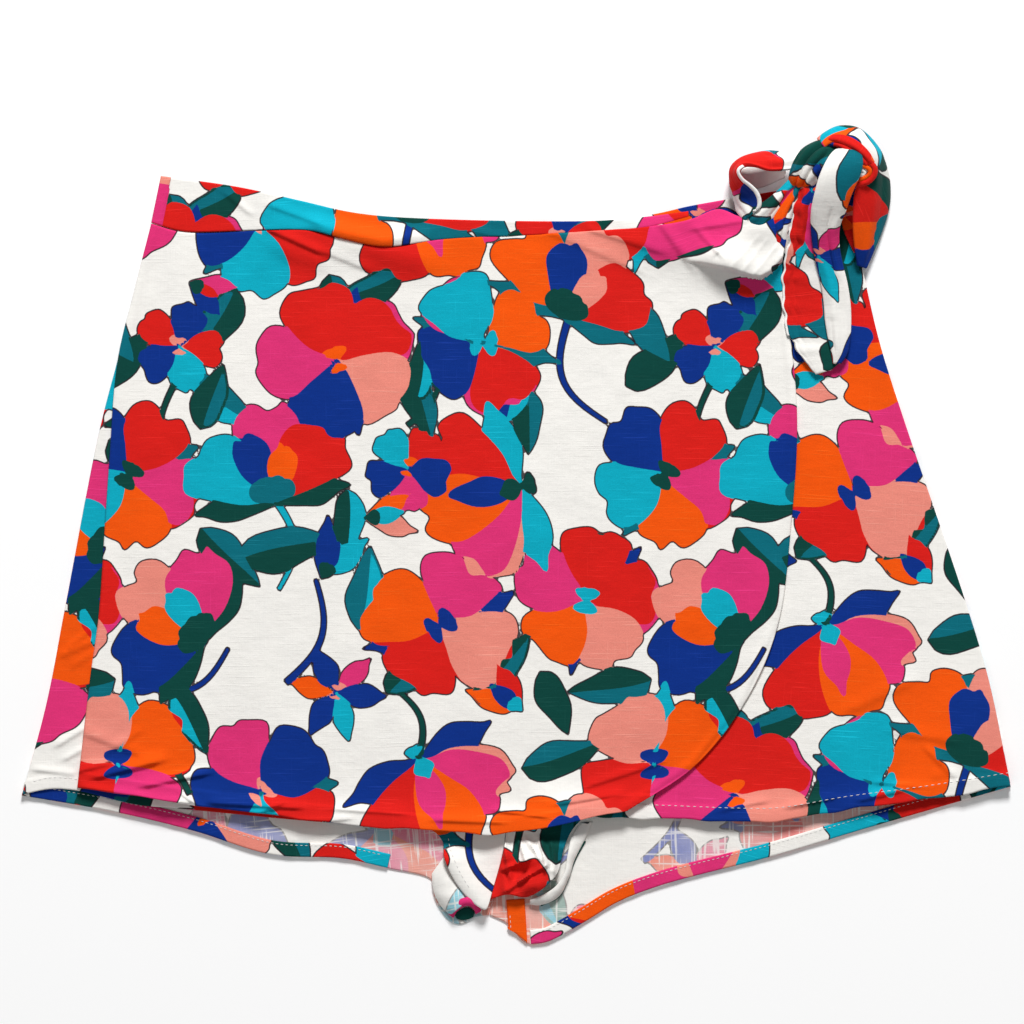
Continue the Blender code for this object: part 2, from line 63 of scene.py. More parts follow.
MM = 0.001
WALL = 1.0  # the cloth's thickness, mm
GAP = 0.3  # the gap between layers and between pieces, mm
LAYER = WALL + GAP
SHARP_FROM = math.radians(62.0)  # the turn from which an edge is shaded as sharp
PANEL_RIM = (0.42, 0.58)  # the share of a panel's wall left at its rim, and what is added inward
STRAP_RIM = (0.22, 0.78)  # the same for a strap
EDGE_REACH = 1.3  # how far in from an edge the lines of a grid stand close, mm
EDGE_GAP = 0.4  # their gap there: mm on a panel, a share of its own gap on a strap
UNDER_GAP = 1.8  # how much wider the gap of a strap's grid is on its under face
BEAD_AT = 1.3  # how far in from its rail a rolled seam lies, mm
PUCKERS = (7.0, 3.2)  # the lengths of a hem's long and short puckers, mm
STITCH_DIP = 0.18  # how far its stitches draw a hem in, mm
STITCH_RISE = 0.06  # how far the middle of a stitch stands above the cloth, mm
Z_BACK = 0.0
Z_FRONT = Z_BACK + LAYER
Z_UNDER = Z_FRONT + LAYER
Z_WRAP = Z_UNDER + LAYER
UNDER_EDGE_X = 0.0  # where the under panel's hidden edge starts at the waist
BACK_SLACK_Y, FOLDS_Y, CRUMPLES_LEFT_Y, CRUMPLES_RIGHT_Y = -158.0, -170.0, -168.0, -166.0  # where each starts


class Point(NamedTuple):
    """A point of an edge, mm."""

    x: float
    y: float


Edge = Sequence[Point]


class Fold(NamedTuple):
    """A soft ridge, or a trough where its height is negative, mm."""

    x0: float
    y0: float
    x1: float
    y1: float
    width: float
    height: float


class Rib(NamedTuple):
    """A cross line of a strap from rail A to rail B, and the rise of its middle, mm."""

    ax: float
    ay: float
    az: float
    bx: float
    by: float
    bz: float
    bow: float


class Crease(NamedTuple):
    """A ridge along a strap: shares along and across at both ends, width as a share, height in mm."""

    along0: float
    across0: float
    along1: float
    across1: float
    width: float
    height: float


class Place(NamedTuple):
    """Where a piece is cut from the printed cloth: a shift in mm and a turn in degrees."""

    u: float
    v: float
    turn: float


class Sheet(NamedTuple):
    """A sheet of cloth: its piece, how it was cut, in mm, and how it is held."""

    piece: Any
    flat: tuple[float, float]
    area: float
    held: str
    rests_on: tuple[str, ...]


def table(kind: type, *rows: Sequence[Any]) -> list[Any]:
    """Name the columns of a table's rows."""
    return [kind(*row) for row in rows]


class Face(Enum):
    """The side of the cloth that looks up."""

    RIGHT = "right side"
    WRONG = "wrong side"
    PLAIN = "unprinted edge"
    BOTH = "right side on both faces"


class Ink(Enum):
    """A field of the print, and the drawn line round each motif."""

    RED = 0
    ORANGE = 1
    PINK = 2
    CORAL = 3
    BLUE = 4
    CYAN = 5
    TEAL = 6
    GREEN = 7
    OUTLINE = 8


INK_LETTERS = dict(zip("ropcbytg", Ink))

# ---- edges of the pieces, each from left to right or from waist to hem ----
SIDE_LEFT = table(
    Point, (-203.6, 175.4), (-221.2, 103.3), (-233, 57.4), (-251.6, -38.6), (-262.3, -93.8), (-276.1, -145.3),
)
SIDE_RIGHT = table(
    Point, (184, 199), (194.3, 150.4), (204.4, 107.2), (217.8, 64.7), (251.4, -34.4), (265.2, -80.9),
    (277.5, -138.6),
)
CENTRE_SEAM = table(
    Point, (-8, 169), (-6, 0), (-5.3, -166), (-6.4, -176), (-9.5, -191.2), (-12.4, -199.4), (-14.3, -205.2),
    (-14.5, -212.2),
)
WAIST_TOP_LEFT = table(
    Point, (-198.2, 201.6), (-154, 195.2), (-120.4, 187.8), (-92.4, 181.4), (-64.4, 178.4), (42, 176.3),
    (72.8, 178.6), (97, 181.7),
)
WAIST_SEAM = table(
    Point, (-203.6, 175.4), (-186, 170.6), (-142, 171.2), (-114.8, 171), (-97, 166.6), (-74, 162), (-40, 166),
    (20, 169), (72.8, 172.6), (97, 178.6),
)
WRAP_CORNER = table(Point, (97, 177), (113.7, 183), (127.1, 178.4), (135.5, 180), (141.7, 185.6), (148.4, 191.9))
WRAP_EDGE = table(
    Point, (148.4, 191.9), (152.9, 174.4), (149.5, 153.7), (151.2, 132.4), (156.2, 93.2), (157.9, 60), (154.8, 9.2),
    (146.7, -51.2), (128.6, -93.2), (100.2, -129.1), (62.7, -153.7),
)
WRAP_SIDE = table(
    Point, (-203.6, 174.8), (-213, 138), (-222.3, 98.8), (-227.1, 42), (-229.3, 10.5), (-233.1, -44.8),
    (-237.7, -78.6), (-244.9, -140.8),
)
WRAP_HEM = table(
    Point, (-244.9, -140.8), (-211.7, -145.9), (-154, -154.3), (-78.4, -162.7), (-33.6, -166.3), (-5.6, -166.6),
    (16.8, -163.8), (47.6, -157.1), (62.7, -153.7),
)
UNDER_SIDE = table(Point, (UNDER_EDGE_X, 168), (UNDER_EDGE_X + 3.0, 20), (UNDER_EDGE_X + 16.0, -149))
UNDER_HEM = table(
    Point, (UNDER_EDGE_X + 16.0, -149), (49.3, -157.4), (81.2, -158.2), (121.5, -159.7), (145.6, -159.7),
    (185.9, -153.2), (234.1, -146.8), (277.2, -139.8),
)
BACK_WAIST = table(Point, (-203, 175.4), (-120, 168), (-8, 163), (75, 166), (130, 172), (187.5, 182))
BACK_BAND_TOP = table(
    Point, (-197.6, 200.6), (-120, 184), (-8, 173), (72.8, 179.4), (98, 184.8), (122.6, 189.2), (184, 199.6),
)
BACK_HEM_LEFT = table(
    Point, (-276.1, -145.3), (-225.1, -154.3), (-180.6, -164.9), (-136.6, -178.3), (-96.3, -180.6), (-71.4, -185.9),
    (-46.4, -193), (-45, -202.3), (-37.6, -214.6), (-30.2, -217.3), (-22, -213.4), (-14.65, -212.2),
)
BACK_HEM_RIGHT = table(
    Point, (-14.35, -212.2), (-4.5, -217), (6.7, -228.4), (18.5, -227.1), (40.3, -215.3), (57.1, -205.2),
    (81.5, -195.7), (145.6, -178.9), (202, -162.1), (277.5, -140.3),
)
FRONT_HEM_LEFT = table(
    Point, (-275.9, -144.6), (-259.8, -141.6), (-245.3, -142.5), (-211.7, -150.4), (-187.6, -152.6), (-110, -160),
    (-48, -164), (-40.6, -171), (-39.6, -180), (-32.8, -194.6), (-23, -205.6), (-16.4, -209), (-14.45, -205.2),
)
FRONT_HEM_RIGHT = table(
    Point, (-13.6, -203.4), (-4.5, -200.6), (6.7, -202), (17, -196), (24, -188), (27, -176), (34, -162), (52, -151),
    (120, -150), (190, -146), (277.2, -138.2),
)

# ---- soft ridges on the pieces, mm; the steeper side of one lies on the right of its direction ----
BULGE_LINE = table(
    Point, (86, 157), (98, 152.4), (108, 150.2), (120, 147.5), (130, 144.2), (137, 143), (143.5, 146.4),
    (150.5, 154),
)
WRAP_CREASES = table(
    Fold, (-143, 174, -112, 160, 3.4, 1.7), (-104, 158, -84, 150, 4, 0.9), (104, 168.6, 113, 158.6, 2.4, 1.3),
    (113, 158.6, 119, 165, 2.2, 1.1), (84, 171, 96.5, 153.6, 4.4, 1.4), (134, 166, 121, 151, 1.7, 0.5),
    (139, 164, 127, 148.5, 1.6, 0.5), (145, 161, 134, 147.5, 1.8, 0.5), (103, 172, 128, 176, 3, 1),
    (-242, -131, -232, -128.6, 3.4, 1.6), (-231, -134, -203, -126.8, 4.2, 2.6), (-238, -141, -212, -145.4, 3, 2),
    (-204, -139, -176, -133.6, 3.6, 2.2), (-206, -147.2, -184, -149, 2.6, 2), (-184, -146, -176, -151.4, 2.2, 1.8),
    (-166, -149.4, -124, -151.8, 3.2, 1.8), (-236, -112, -216, -120, 5, 1.2), (-224, -119, -214, -112, 3.4, 1),
    (-150, -158, -132, -150, 2.8, 1.4), (-120, -160.4, -96, -158.4, 2.6, 1.1), (-96, -153, -66, -154.6, 4, 1.2),
    (-40, -159, -12, -160, 3.6, 1.3), (-8, -154, 14, -156.6, 3, 1.1), (28, -149, 56, -145, 3.4, 1.5),
    (44, -139, 78, -128, 3.2, 1.2), (40, 172, 78, 160, 4, 1), (20, 170, 66, 150, 5, 0.8),
)
WRAP_FOLDS = table(
    Fold, (-116, 170, -60, 157, 10, 3.2), (-128, 160, -112, 154, 6, 1.6), (78, 166, 128, 152, 13, 4.2),
    (96, 178, 138, 173, 9, 3.4), (122, 158, 146, 178, 11, 3), (-44, -168, 24, -166, 18, 1.8),
)
FRONT_LEFT_FOLDS = table(Fold, (-37, -181, -20, -205, 10, 6.4))
UNDER_CREASES = table(
    Fold, (118, -153, 137, -149, 2.6, 1.3), (156, -151, 176, -146.6, 2.8, 1.5), (196, -147, 214, -142.6, 2.8, 1.6),
    (204, -138, 224, -140, 2.6, 1), (232, -121, 244, -133, 3, 1.1), (216, -110, 240, -114, 5, 1),
    (190, -96, 216, -84, 6, 0.9),
)
BAND_PLEATS = table(
    Fold, (-160, 190, -150, 182, 2.4, 0.8), (-134, 184, -112, 176, 3.2, 1), (34, 168, 46, 164, 2.4, 0.9),
    (44, 171, 56, 167, 2.4, 0.9), (-20, 170, -2, 166, 3, 0.7),
)
SIDE_CREASES = table(
    Fold, (-248, -61, -236, -52, 1.6, 1.1), (-252, -66, -238, -60, 1.8, 1.2), (-246, -72, -238, -67, 1.6, 0.9),
    (-254, -116, -243, -109, 2.4, 1.3), (-250, -124, -243, -120, 2, 1.2), (-266, -131, -250, -133, 2.6, 1.1),
)
FRONT_RIGHT_CREASES = table(
    Fold, (-7, -170, -3, -190, 2, 3), (1, -168, 6, -182, 1.7, 3), (-5, -186, 7, -181, 1.6, 3.2),
    (4, -192, 16, -185, 1.7, 3), (13, -166, 17, -184, 1.8, 3.4), (8, -172, 13, -180, 1.5, 2.2),
    (-4, -198, 6, -191, 1.6, 2.4), (20, -172, 22, -186, 1.6, 2.4),
)
FRONT_RIGHT_FOLDS = table(Fold, (20, -172, 18, -190, 7, 4), (-2, -177, 12, -182, 5, 3), (0, -197, 14, -195, 6, 5))

# ---- straps: a row for each rib, from rail A to rail B, with the rise of the middle between them ----
GATHER_UPPER = table(
    Rib, (127, 182, 9, 138.5, 166, 9, 2), (131.6, 182, 13.6, 141.4, 170.6, 13, 3),
    (135.2, 184, 15.4, 143.6, 176.4, 14.6, 3), (139.8, 187.2, 16.4, 146.6, 181.4, 15.6, 2.8),
    (145, 191.2, 17, 150.4, 186.6, 16.4, 2.4), (150, 195.8, 17.4, 154.8, 191.8, 17, 2),
    (154.8, 200.8, 17.4, 159.6, 196.6, 17.4, 1.6),
)
GATHER_LOWER = table(
    Rib, (149.4, 154.4, 6.4, 152.8, 151.8, 5, 0.6), (146.4, 159.6, 9.8, 152.4, 157, 8.4, 2),
    (143.4, 165.2, 12.2, 152.8, 163.2, 11, 3.2), (143, 171.4, 13.8, 153.6, 169.4, 12.8, 3.6),
    (144, 177.4, 14.8, 154.6, 175.4, 14, 3.6), (147.4, 184, 15.8, 156.2, 182, 15.4, 3.2),
    (152.2, 190.8, 16.6, 159.2, 188.8, 16.6, 2.6), (158, 198.2, 17.2, 163.4, 196.6, 17.4, 1.8),
)
LOOP_LEFT = table(
    Rib, (158, 205, 17, 159.5, 216.4, 10, 1.8), (149, 203.9, 20, 149.6, 214.6, 11, 2),
    (141, 203.8, 22, 141, 214.8, 11.5, 2.6), (133, 206, 23.4, 132, 212.4, 11, 2.6),
    (127.8, 206.2, 24.2, 126.6, 208.8, 8, 2.8), (125.2, 203.8, 24.2, 122.9, 204.6, 2.8, 3),
    (126.8, 199.8, 23.4, 122.5, 198, 2, 3), (131, 196.2, 22.4, 122.6, 192.2, 2.4, 3),
    (134.4, 192.6, 21.4, 122.9, 187.4, 4.2, 2.6), (136.3, 188, 20.2, 123.8, 182.2, 8, 2),
    (136.1, 183.6, 19, 126, 178.8, 12, 1.2), (133.6, 180.4, 17.6, 128.8, 175.8, 13.6, 0.6),
)
LOOP_LEFT_FLOOR = table(
    Rib, (123.4, 204.6, 3, 123.4, 191.2, 4.4, -0.3), (138, 208.4, 2.6, 139.6, 195.4, 6, -0.6),
    (152, 208.4, 4, 150.8, 200.4, 8.6, -0.4),
)
LOOP_RIGHT = table(
    Rib, (172.6, 216.6, 24.4, 168.6, 221.6, 18, 1.2), (177, 219.4, 25.8, 173.6, 224.8, 16.6, 2),
    (183.6, 219.6, 26.8, 181, 227.8, 15, 3), (190.6, 216.8, 27, 191.4, 226.6, 14.2, 3.4),
    (195.4, 209.8, 26.2, 202.4, 216, 8.4, 3.6), (192.4, 200.6, 24.6, 208, 204.6, 3.8, 3.6),
    (189.6, 192, 22.4, 209.6, 194, 2.2, 3.6), (188.6, 182, 19.6, 208.8, 183.2, 2, 3.4),
    (188.6, 172, 16.4, 205.6, 172.4, 2, 3), (189.6, 161, 11.6, 200.8, 160.8, 3.2, 2.2),
    (191.4, 151.4, 6.8, 196, 149.8, 4.6, 0.8),
)
LOOP_RIGHT_FLOOR = table(
    Rib, (189.5, 158.5, 5, 193.6, 159.6, 4.8, 0.2), (183.5, 172, 5.6, 196.6, 174, 4.6, 0.5),
    (181, 188, 6, 199.6, 189, 3, 0.6), (178.5, 203, 8, 193.6, 206, 5, 0.6),
)
LINING = table(
    Rib, (172.6, 222.6, 21, 175.4, 217, 21.4, 1), (178.6, 224, 25.4, 179.6, 217.4, 23.6, 1.6),
    (185, 223.2, 27.8, 184.4, 215.4, 24.6, 2), (191.6, 219.8, 28.6, 188.8, 212, 25, 2),
    (197.4, 214.2, 27.6, 192.4, 208.8, 25.2, 1.8), (200.6, 208.6, 25.4, 194.4, 206, 24.4, 1.4),
)
COILS = (
    table(
        Rib, (190, 211, 27, 190.6, 208.4, 27, 0.7), (196.6, 210.4, 26.6, 195.8, 207.8, 27.4, 0.9),
        (201.4, 206.4, 25, 199.2, 205, 26.6, 0.9), (201.6, 201.4, 24, 199, 202.2, 25.8, 0.9),
        (197.6, 196.8, 23.6, 196, 199, 25.2, 0.9), (190.8, 194.8, 23.6, 190.6, 197.2, 25, 0.7),
    ),
    table(
        Rib, (190.2, 208, 26, 190.6, 205.8, 26, 0.6), (195.4, 207.4, 26.2, 194.6, 205.2, 26.6, 0.8),
        (198.8, 204.6, 25.8, 196.8, 203.6, 26.2, 0.8), (198.2, 201.4, 25.2, 196.2, 201.8, 25.6, 0.8),
        (194.6, 198.6, 24.6, 193.6, 200.4, 25, 0.8), (190.4, 197.6, 24.4, 190.4, 199.6, 24.6, 0.6),
    ),
    table(
        Rib, (190.4, 205.2, 25.2, 190.6, 203.4, 25, 0.5), (194.4, 204.6, 25.4, 193.8, 203.2, 25.4, 0.6),
        (195.8, 202.8, 25, 194.2, 202.4, 25, 0.6), (193.6, 200.8, 24.4, 193, 202, 24.6, 0.6),
        (190.4, 200.2, 24.2, 190.4, 201.6, 24.2, 0.5),
    ),
)
KNOT = table(
    Rib, (173.4, 221.6, 14.4, 186.4, 213.4, 17.4, 1.6), (167, 219.8, 19.4, 183, 209.4, 22.6, 2.6),
    (160, 215.6, 22.4, 178, 205.2, 26.6, 3.2), (155.6, 209, 21.8, 173.4, 202, 25.8, 3.4),
    (153.4, 202.4, 19.4, 169.4, 198.6, 23.2, 3.2), (152.8, 197.6, 16.4, 166, 195.4, 20, 2),
)
TAIL = table(
    Rib, (179, 215.4, 26, 191, 214.4, 25.4, 1), (175.4, 211.8, 30, 193.4, 211.4, 29, 1.8),
    (172.2, 206.6, 31.8, 193.6, 206.2, 30.6, 2.2), (169.2, 199.6, 31.8, 191.4, 199.4, 30.2, 2.4),
    (167, 191.4, 29.6, 187.6, 191, 28, 2.4), (165.3, 182.6, 25.4, 184.6, 182.4, 24, 2.4),
    (165.2, 174, 20.4, 181.2, 173.6, 19.6, 2.6), (166.3, 163, 15.6, 181, 162.6, 14.6, 2.4),
    (168.5, 152, 12.4, 183, 151.8, 11.2, 2.2), (170.9, 142, 10.8, 185.4, 141.8, 9.6, 2),
    (172.6, 130.8, 9.8, 187.2, 130.8, 8.4, 1.8), (173.4, 120.8, 9.4, 187.7, 120.8, 7.8, 1.7),
    (175, 111, 9.2, 187.2, 110.8, 7.8, 1.4), (177, 102.4, 8.8, 185.4, 101.6, 7.8, 0.9),
    (178, 96.4, 8.2, 182, 96.4, 7.8, 0.4),
)
TAIL_UNDER = table(
    Rib, (161, 200.4, 18.6, 171.4, 196.4, 21, 1.2), (158.6, 192.4, 19.6, 170.6, 190, 21.4, 1.6),
    (156.8, 185, 18.8, 170, 183, 19.6, 1.8), (155.2, 177.4, 16.8, 169.8, 175.6, 16.8, 1.8),
    (154, 168.6, 14.2, 170.2, 167, 13.8, 1.4), (152.6, 159.6, 11.8, 171, 158.4, 11.2, 1),
    (150.6, 150, 9.6, 172.4, 149, 9.2, 0.8), (150.2, 139.6, 7.8, 174.4, 139, 7.9, 0.6),
    (150.6, 129.6, 6.9, 176.6, 129, 7.1, 0.5), (151.6, 120.6, 6.5, 178.6, 119.8, 6.9, 0.4),
    (153.6, 111.6, 6.3, 180.6, 110.8, 6.7, 0.3), (158.4, 103, 6.3, 182.4, 103, 6.6, 0.3),
    (163.4, 96, 6.3, 181.6, 97.4, 6.5, 0.2), (168.4, 90.4, 6.3, 176.6, 92.8, 6.3, 0.1),
)
ROLL_LEFT = table(
    Rib, (-39, -178.4, 2, -46.6, -189, 1.9, 0.6), (-35, -187.8, 3.4, -45.6, -198.6, 1.9, 2),
    (-29.8, -196, 3.8, -41.8, -206.6, 2, 3.2), (-24.6, -202.6, 3.8, -36.2, -212.2, 2.1, 4.2),
)
CUFF_LEFT = table(
    Rib, (-37.2, -211, 1.6, -34.4, -213.6, 1.5, 0.5), (-35.8, -206.8, 4.6, -33, -210.4, 3.2, 1.2),
    (-31, -203.2, 7, -29.8, -207.4, 5, 1.5), (-25.6, -202, 7.6, -26, -206.4, 5.4, 1.5),
    (-21, -204.6, 5.8, -23.2, -208.4, 4.2, 1.2), (-19.2, -209.4, 2.6, -22, -211.6, 1.8, 0.5),
)
# the dark mouth of the left leg's tube: a low strap cut where the print is dark green, painted shade for the shadow
# inside the tube
MOUTH_SHADE_LEFT = table(
    Rib, (-34, -211.6, 2, -32.6, -214.2, 1.5, 0), (-30, -208.8, 3.4, -29.8, -215, 1.5, 0),
    (-26, -207.8, 3.6, -26.4, -214.6, 1.5, 0), (-22.6, -210.4, 2.2, -23.4, -213.4, 1.5, 0),
)
CURL_RIGHT = table(
    Rib, (36.6, -160.6, 1.6, 43.4, -160, 1.5, 0), (31.6, -168.6, 3.6, 38.8, -170.6, 1.6, 0.8),
    (29.4, -178, 6, 33.4, -180.4, 1.8, 1.1), (27.6, -188, 6.4, 29.4, -191.4, 1.8, 1.1),
    (22.6, -196, 6.6, 24.4, -201.4, 1.8, 1.2), (13.6, -201.6, 6, 14.2, -206.4, 2.8, 0.7),
    (8.4, -203.4, 4.4, 8.2, -206, 2.8, 0.4),
)


# ---- soft shapes ----


def smoothstep(share: Array | float) -> Array:
    """A soft step from 0 to 1."""
    share = np.clip(share, 0.0, 1.0)
    return share * share * (3.0 - 2.0 * share)


def through(rows: Sequence[Sequence[float]], spread: Array) -> Array:
    """Follow the smooth curve through rows of numbers.

    Args:
        rows: points, of any number of columns.
        spread: the shares of the curve's length at which it is read.

    Returns:
        One row for each share.
    """
    knots = np.array(rows, dtype=float)
    chord = np.linalg.norm(np.diff(knots[:, : min(3, knots.shape[1])], axis=0), axis=1)
    at = np.concatenate([[0.0], np.cumsum(np.sqrt(chord))])
    slope = np.gradient(knots, at, axis=0)
    fine = np.linspace(0.0, at[-1], 24 * len(knots))
    cell = np.clip(np.searchsorted(at, fine, side="right") - 1, 0, len(knots) - 2)
    run = (at[cell + 1] - at[cell])[:, None]
    t = (fine - at[cell])[:, None] / run
    start, end = knots[cell], knots[cell + 1]
    curve = (
        start * (2 * t**3 - 3 * t**2 + 1)
        + slope[cell] * run * (t**3 - 2 * t**2 + t)
        + end * (3 * t**2 - 2 * t**3)
        + slope[cell + 1] * run * (t**3 - t**2)
    )
    walked = np.linalg.norm(np.diff(curve[:, : min(3, curve.shape[1])], axis=0), axis=1)
    walked = np.concatenate([[0.0], np.cumsum(walked)])
    return np.stack([np.interp(spread * walked[-1], walked, column) for column in curve.T], axis=1)


def length_of(rows: Sequence[Sequence[float]]) -> float:
    """The plain length of a line through its rows."""
    return float(np.linalg.norm(np.diff(np.array(rows, dtype=float)[:, :3], axis=0), axis=1).sum())


def stops(
    length: float, spacing: float, spans: Sequence[tuple[float, float, float]] = (), rim: float = EDGE_GAP
) -> Array:
    """Space out the lines of a grid along one of its edges.

    Args:
        length: the edge's length in mm.
        spacing: the even gap between lines.
        spans: stretches with a gap of their own, as from, to and gap.
        rim: the gap close to both ends, where the cloth turns over.

    Returns:
        Shares from 0 to 1.
    """
    walk = np.linspace(0.0, length, int(length * 8) + 2)
    gap = np.full_like(walk, spacing)
    for low, high, close in spans:
        gap[(walk >= low) & (walk <= high)] = close
    gap = np.where(np.minimum(walk, length - walk) < EDGE_REACH, np.minimum(rim, gap), gap)
    count = np.concatenate([[0.0], np.cumsum(0.5 * (1 / gap[1:] + 1 / gap[:-1]) * np.diff(walk))])
    lines = max(3, round(float(count[-1])))
    return np.interp(np.linspace(0.0, count[-1], lines + 1), count, walk) / length


def raised(edge: Edge, rise: float) -> list[Point]:
    """The same edge, moved up the garment."""
    return [Point(point.x, point.y + rise) for point in edge]


def normals(line: Array) -> Array:
    """The unit vectors to the left of a line in plan, at each of its points."""
    run = np.gradient(line, axis=0)
    run /= np.linalg.norm(run, axis=1)[:, None]
    return np.stack([-run[:, 1], run[:, 0]], axis=1)


def stretch(edge: Edge, from_x: float, to_x: float) -> list[Point]:
    """Eight points on the smooth curve through an edge, over one stretch of its width."""
    curve = through(edge, np.linspace(0.0, 1.0, 401))
    return [Point(x, float(np.interp(x, curve[:, 0], curve[:, 1]))) for x in np.linspace(from_x, to_x, 8)]


def seam_down(edge: Edge, from_y: float, to_y: float, aside: float) -> list[Point]:
    """Twelve points on the smooth curve through a seam, over one stretch of its length, moved aside."""
    curve = through(edge, np.linspace(0.0, 1.0, 401))[::-1]
    return [Point(float(np.interp(y, curve[:, 1], curve[:, 0])) + aside, y) for y in np.linspace(from_y, to_y, 12)]


def rippled(ribs: Sequence[Rib], depth: float, wave: float) -> list[Rib]:
    """Ribs whose rail A waves aside and up.

    Args:
        ribs: the straight ribs.
        depth: how far it waves, mm.
        wave: the length of a wave, mm.

    Returns:
        Closer ribs with the waves in them.
    """
    share = np.linspace(0.0, 1.0, 90)
    spine = through(ribs, share)
    rail_a, rail_b = spine[:, 0:3], spine[:, 3:6]
    phase = 2 * math.pi * share * length_of(rail_a) / wave
    swing = depth * (np.sin(phase) + 0.6 * np.sin(1.7 * phase + 1.0)) * smoothstep(9 * share * (1 - share))
    aside = (rail_a - rail_b) / (np.linalg.norm(rail_a - rail_b, axis=1)[:, None] + 1e-9)
    rail_a += swing[:, None] * aside
    rail_a[:, 2] += 0.5 * swing
    return [Rib(*row) for row in spine]


def rim_of(ribs: Sequence[Rib], inward: float, outward: float, lift: float, bow: float) -> list[Rib]:
    """The ribs of a thin rim that follows rail A of other ribs.

    Args:
        ribs: the ribs that it follows.
        inward, outward: how far it reaches to each side of the rail, mm.
        lift: how far it stands above the rail, mm.
        bow: how much it is rounded, mm.

    Returns:
        The rim's ribs.
    """
    made = []
    for rib in ribs:
        rail, other = np.array(rib[0:3]), np.array(rib[3:6])
        toward = (other - rail) / (np.linalg.norm(other - rail) + 1e-9)
        up = np.array([0.0, 0.0, lift])
        made.append(Rib(*(rail - outward * toward + up), *(rail + inward * toward + up), bow))
    return made


def ridges(x: Array, y: Array, folds: Sequence[Fold], steep: float = 1.0) -> Array:
    """The rise of soft folds, each of which dies out past its two ends.

    Args:
        x, y: the points.
        folds: each fold's line, width and height.
        steep: the width on the right of a line, as a share of the width on its left.

    Returns:
        The rise at each point.
    """
    rise = 0.0
    for fold in folds:
        dx, dy = fold.x1 - fold.x0, fold.y1 - fold.y0
        length = math.hypot(dx, dy)
        along = ((x - fold.x0) * dx + (y - fold.y0) * dy) / length
        aside = ((x - fold.x0) * dy - (y - fold.y0) * dx) / length
        past = np.maximum(0.0, np.maximum(-along, along - length))
        width = np.where(aside > 0.0, steep, 1.0) * fold.width
        rise = rise + fold.height * np.exp(-((aside / width) ** 2) - (past / (1.6 * fold.width)) ** 2)
    return rise


def up_from(line: Edge, x: Array, y: Array, steps: int = 120) -> Array:
    """How far points lie up the garment from a line that runs from left to right, mm."""
    curve = through(line, np.linspace(0.0, 1.0, steps))
    return y - np.interp(x, curve[:, 0], curve[:, 1])


def line_distance(x: Array, y: Array, line: Edge) -> Array:
    """How far points lie to the left of a line, negative to its right, along the way it runs."""
    best = np.full(np.shape(x), 1e9)
    signed = np.zeros(np.shape(x))
    for a, b in zip(line, line[1:]):
        dx, dy = b.x - a.x, b.y - a.y
        t = np.clip(((x - a.x) * dx + (y - a.y) * dy) / (dx * dx + dy * dy), 0.0, 1.0)
        gap = np.hypot(x - a.x - t * dx, y - a.y - t * dy)
        side = np.sign(dx * (y - a.y) - dy * (x - a.x))
        near = gap < best
        best = np.where(near, gap, best)
        signed = np.where(near, gap * side, signed)
    return signed


@dataclass(frozen=True)
class Rumple:
    """The uneven soft waves of cloth that has been worn and laid down.

    Attributes:
        seed: picks one pattern of waves.
        size: the distance from wave to wave, mm.
        depth: the height of a wave, mm.
        aspect: how much longer a wave is along Y than along X.
    """

    seed: int
    size: float
    depth: float
    aspect: float = 1.0

    def at(self, x: Array, y: Array) -> Array:
        """The height at each point, from 0 to about the depth."""
        side = 64
        knots = np.random.default_rng(self.seed).uniform(0.0, 1.0, (side, side))
        gx, gy = np.mod(x / self.size, side), np.mod(y / (self.size * self.aspect), side)
        i, j = gx.astype(int) % side, gy.astype(int) % side
        fx, fy = smoothstep(gx - np.floor(gx)), smoothstep(gy - np.floor(gy))
        i1, j1 = (i + 1) % side, (j + 1) % side
        low = knots[i, j] * (1 - fx) + knots[i1, j] * fx
        high = knots[i, j1] * (1 - fx) + knots[i1, j1] * fx
        return self.depth * (low * (1 - fy) + high * fy)

    def along(self, x: Array) -> Array:
        """The height at each point of one line across the garment."""
        return self.at(x, 0 * x)


# ---- the print ----


def closed_curve(p: Array) -> Array:
    """A smooth closed outline through its points, in four steps from each to the next."""
    steps = 4
    t = (np.arange(steps) / steps)[None, :, None]
    a, b, c, d = (x[:, None] for x in (np.roll(p, 1, 0), p, np.roll(p, -1, 0), np.roll(p, -2, 0)))
    curve = 0.5 * (2 * b + (c - a) * t + (2 * a - 5 * b + 4 * c - d) * t**2 + (3 * b - a - 3 * c + d) * t**3)
    return curve.reshape(-1, 2)


def turned(points: Array, degrees: float, scale: float = 1.0) -> Array:
    """Points turned clockwise about the origin and scaled."""
    c, s = math.cos(math.radians(-degrees)), math.sin(math.radians(-degrees))
    p = np.asarray(points, float) * scale
    return np.stack([c * p[:, 0] - s * p[:, 1], s * p[:, 0] + c * p[:, 1]], axis=1)


def outline_distance(p: Array, outline: Array) -> Array:
    """The signed distance of points to a closed outline, negative inside it."""
    a, b = outline, np.roll(outline, -1, 0)
    ab = b - a
    ap = p[:, None] - a[None]
    t = np.clip((ap * ab[None]).sum(2) / ((ab * ab).sum(1)[None] + 1e-12), 0, 1)
    gap = ap - t[..., None] * ab[None]
    distance = np.sqrt((gap * gap).sum(2).min(1))
    ay, by, py = a[None, :, 1], b[None, :, 1], p[:, None, 1]
    rise = np.where(ab[None, :, 1] == 0, 1e-12, ab[None, :, 1])
    x = a[None, :, 0] + (py - ay) * ab[None, :, 0] / rise
    inside = ((p[:, None, 0] < x) & ((ay > py) != (by > py))).sum(1) % 2 == 1
    return np.where(inside, -distance, distance)


class PetalRow(NamedTuple):
    """A petal of a bloom: its colour's number, tip, turn, and sizes as shares of the bloom's reach."""

    key: int
    tip: str
    turn: float
    length: float
    width: float
    lean: float


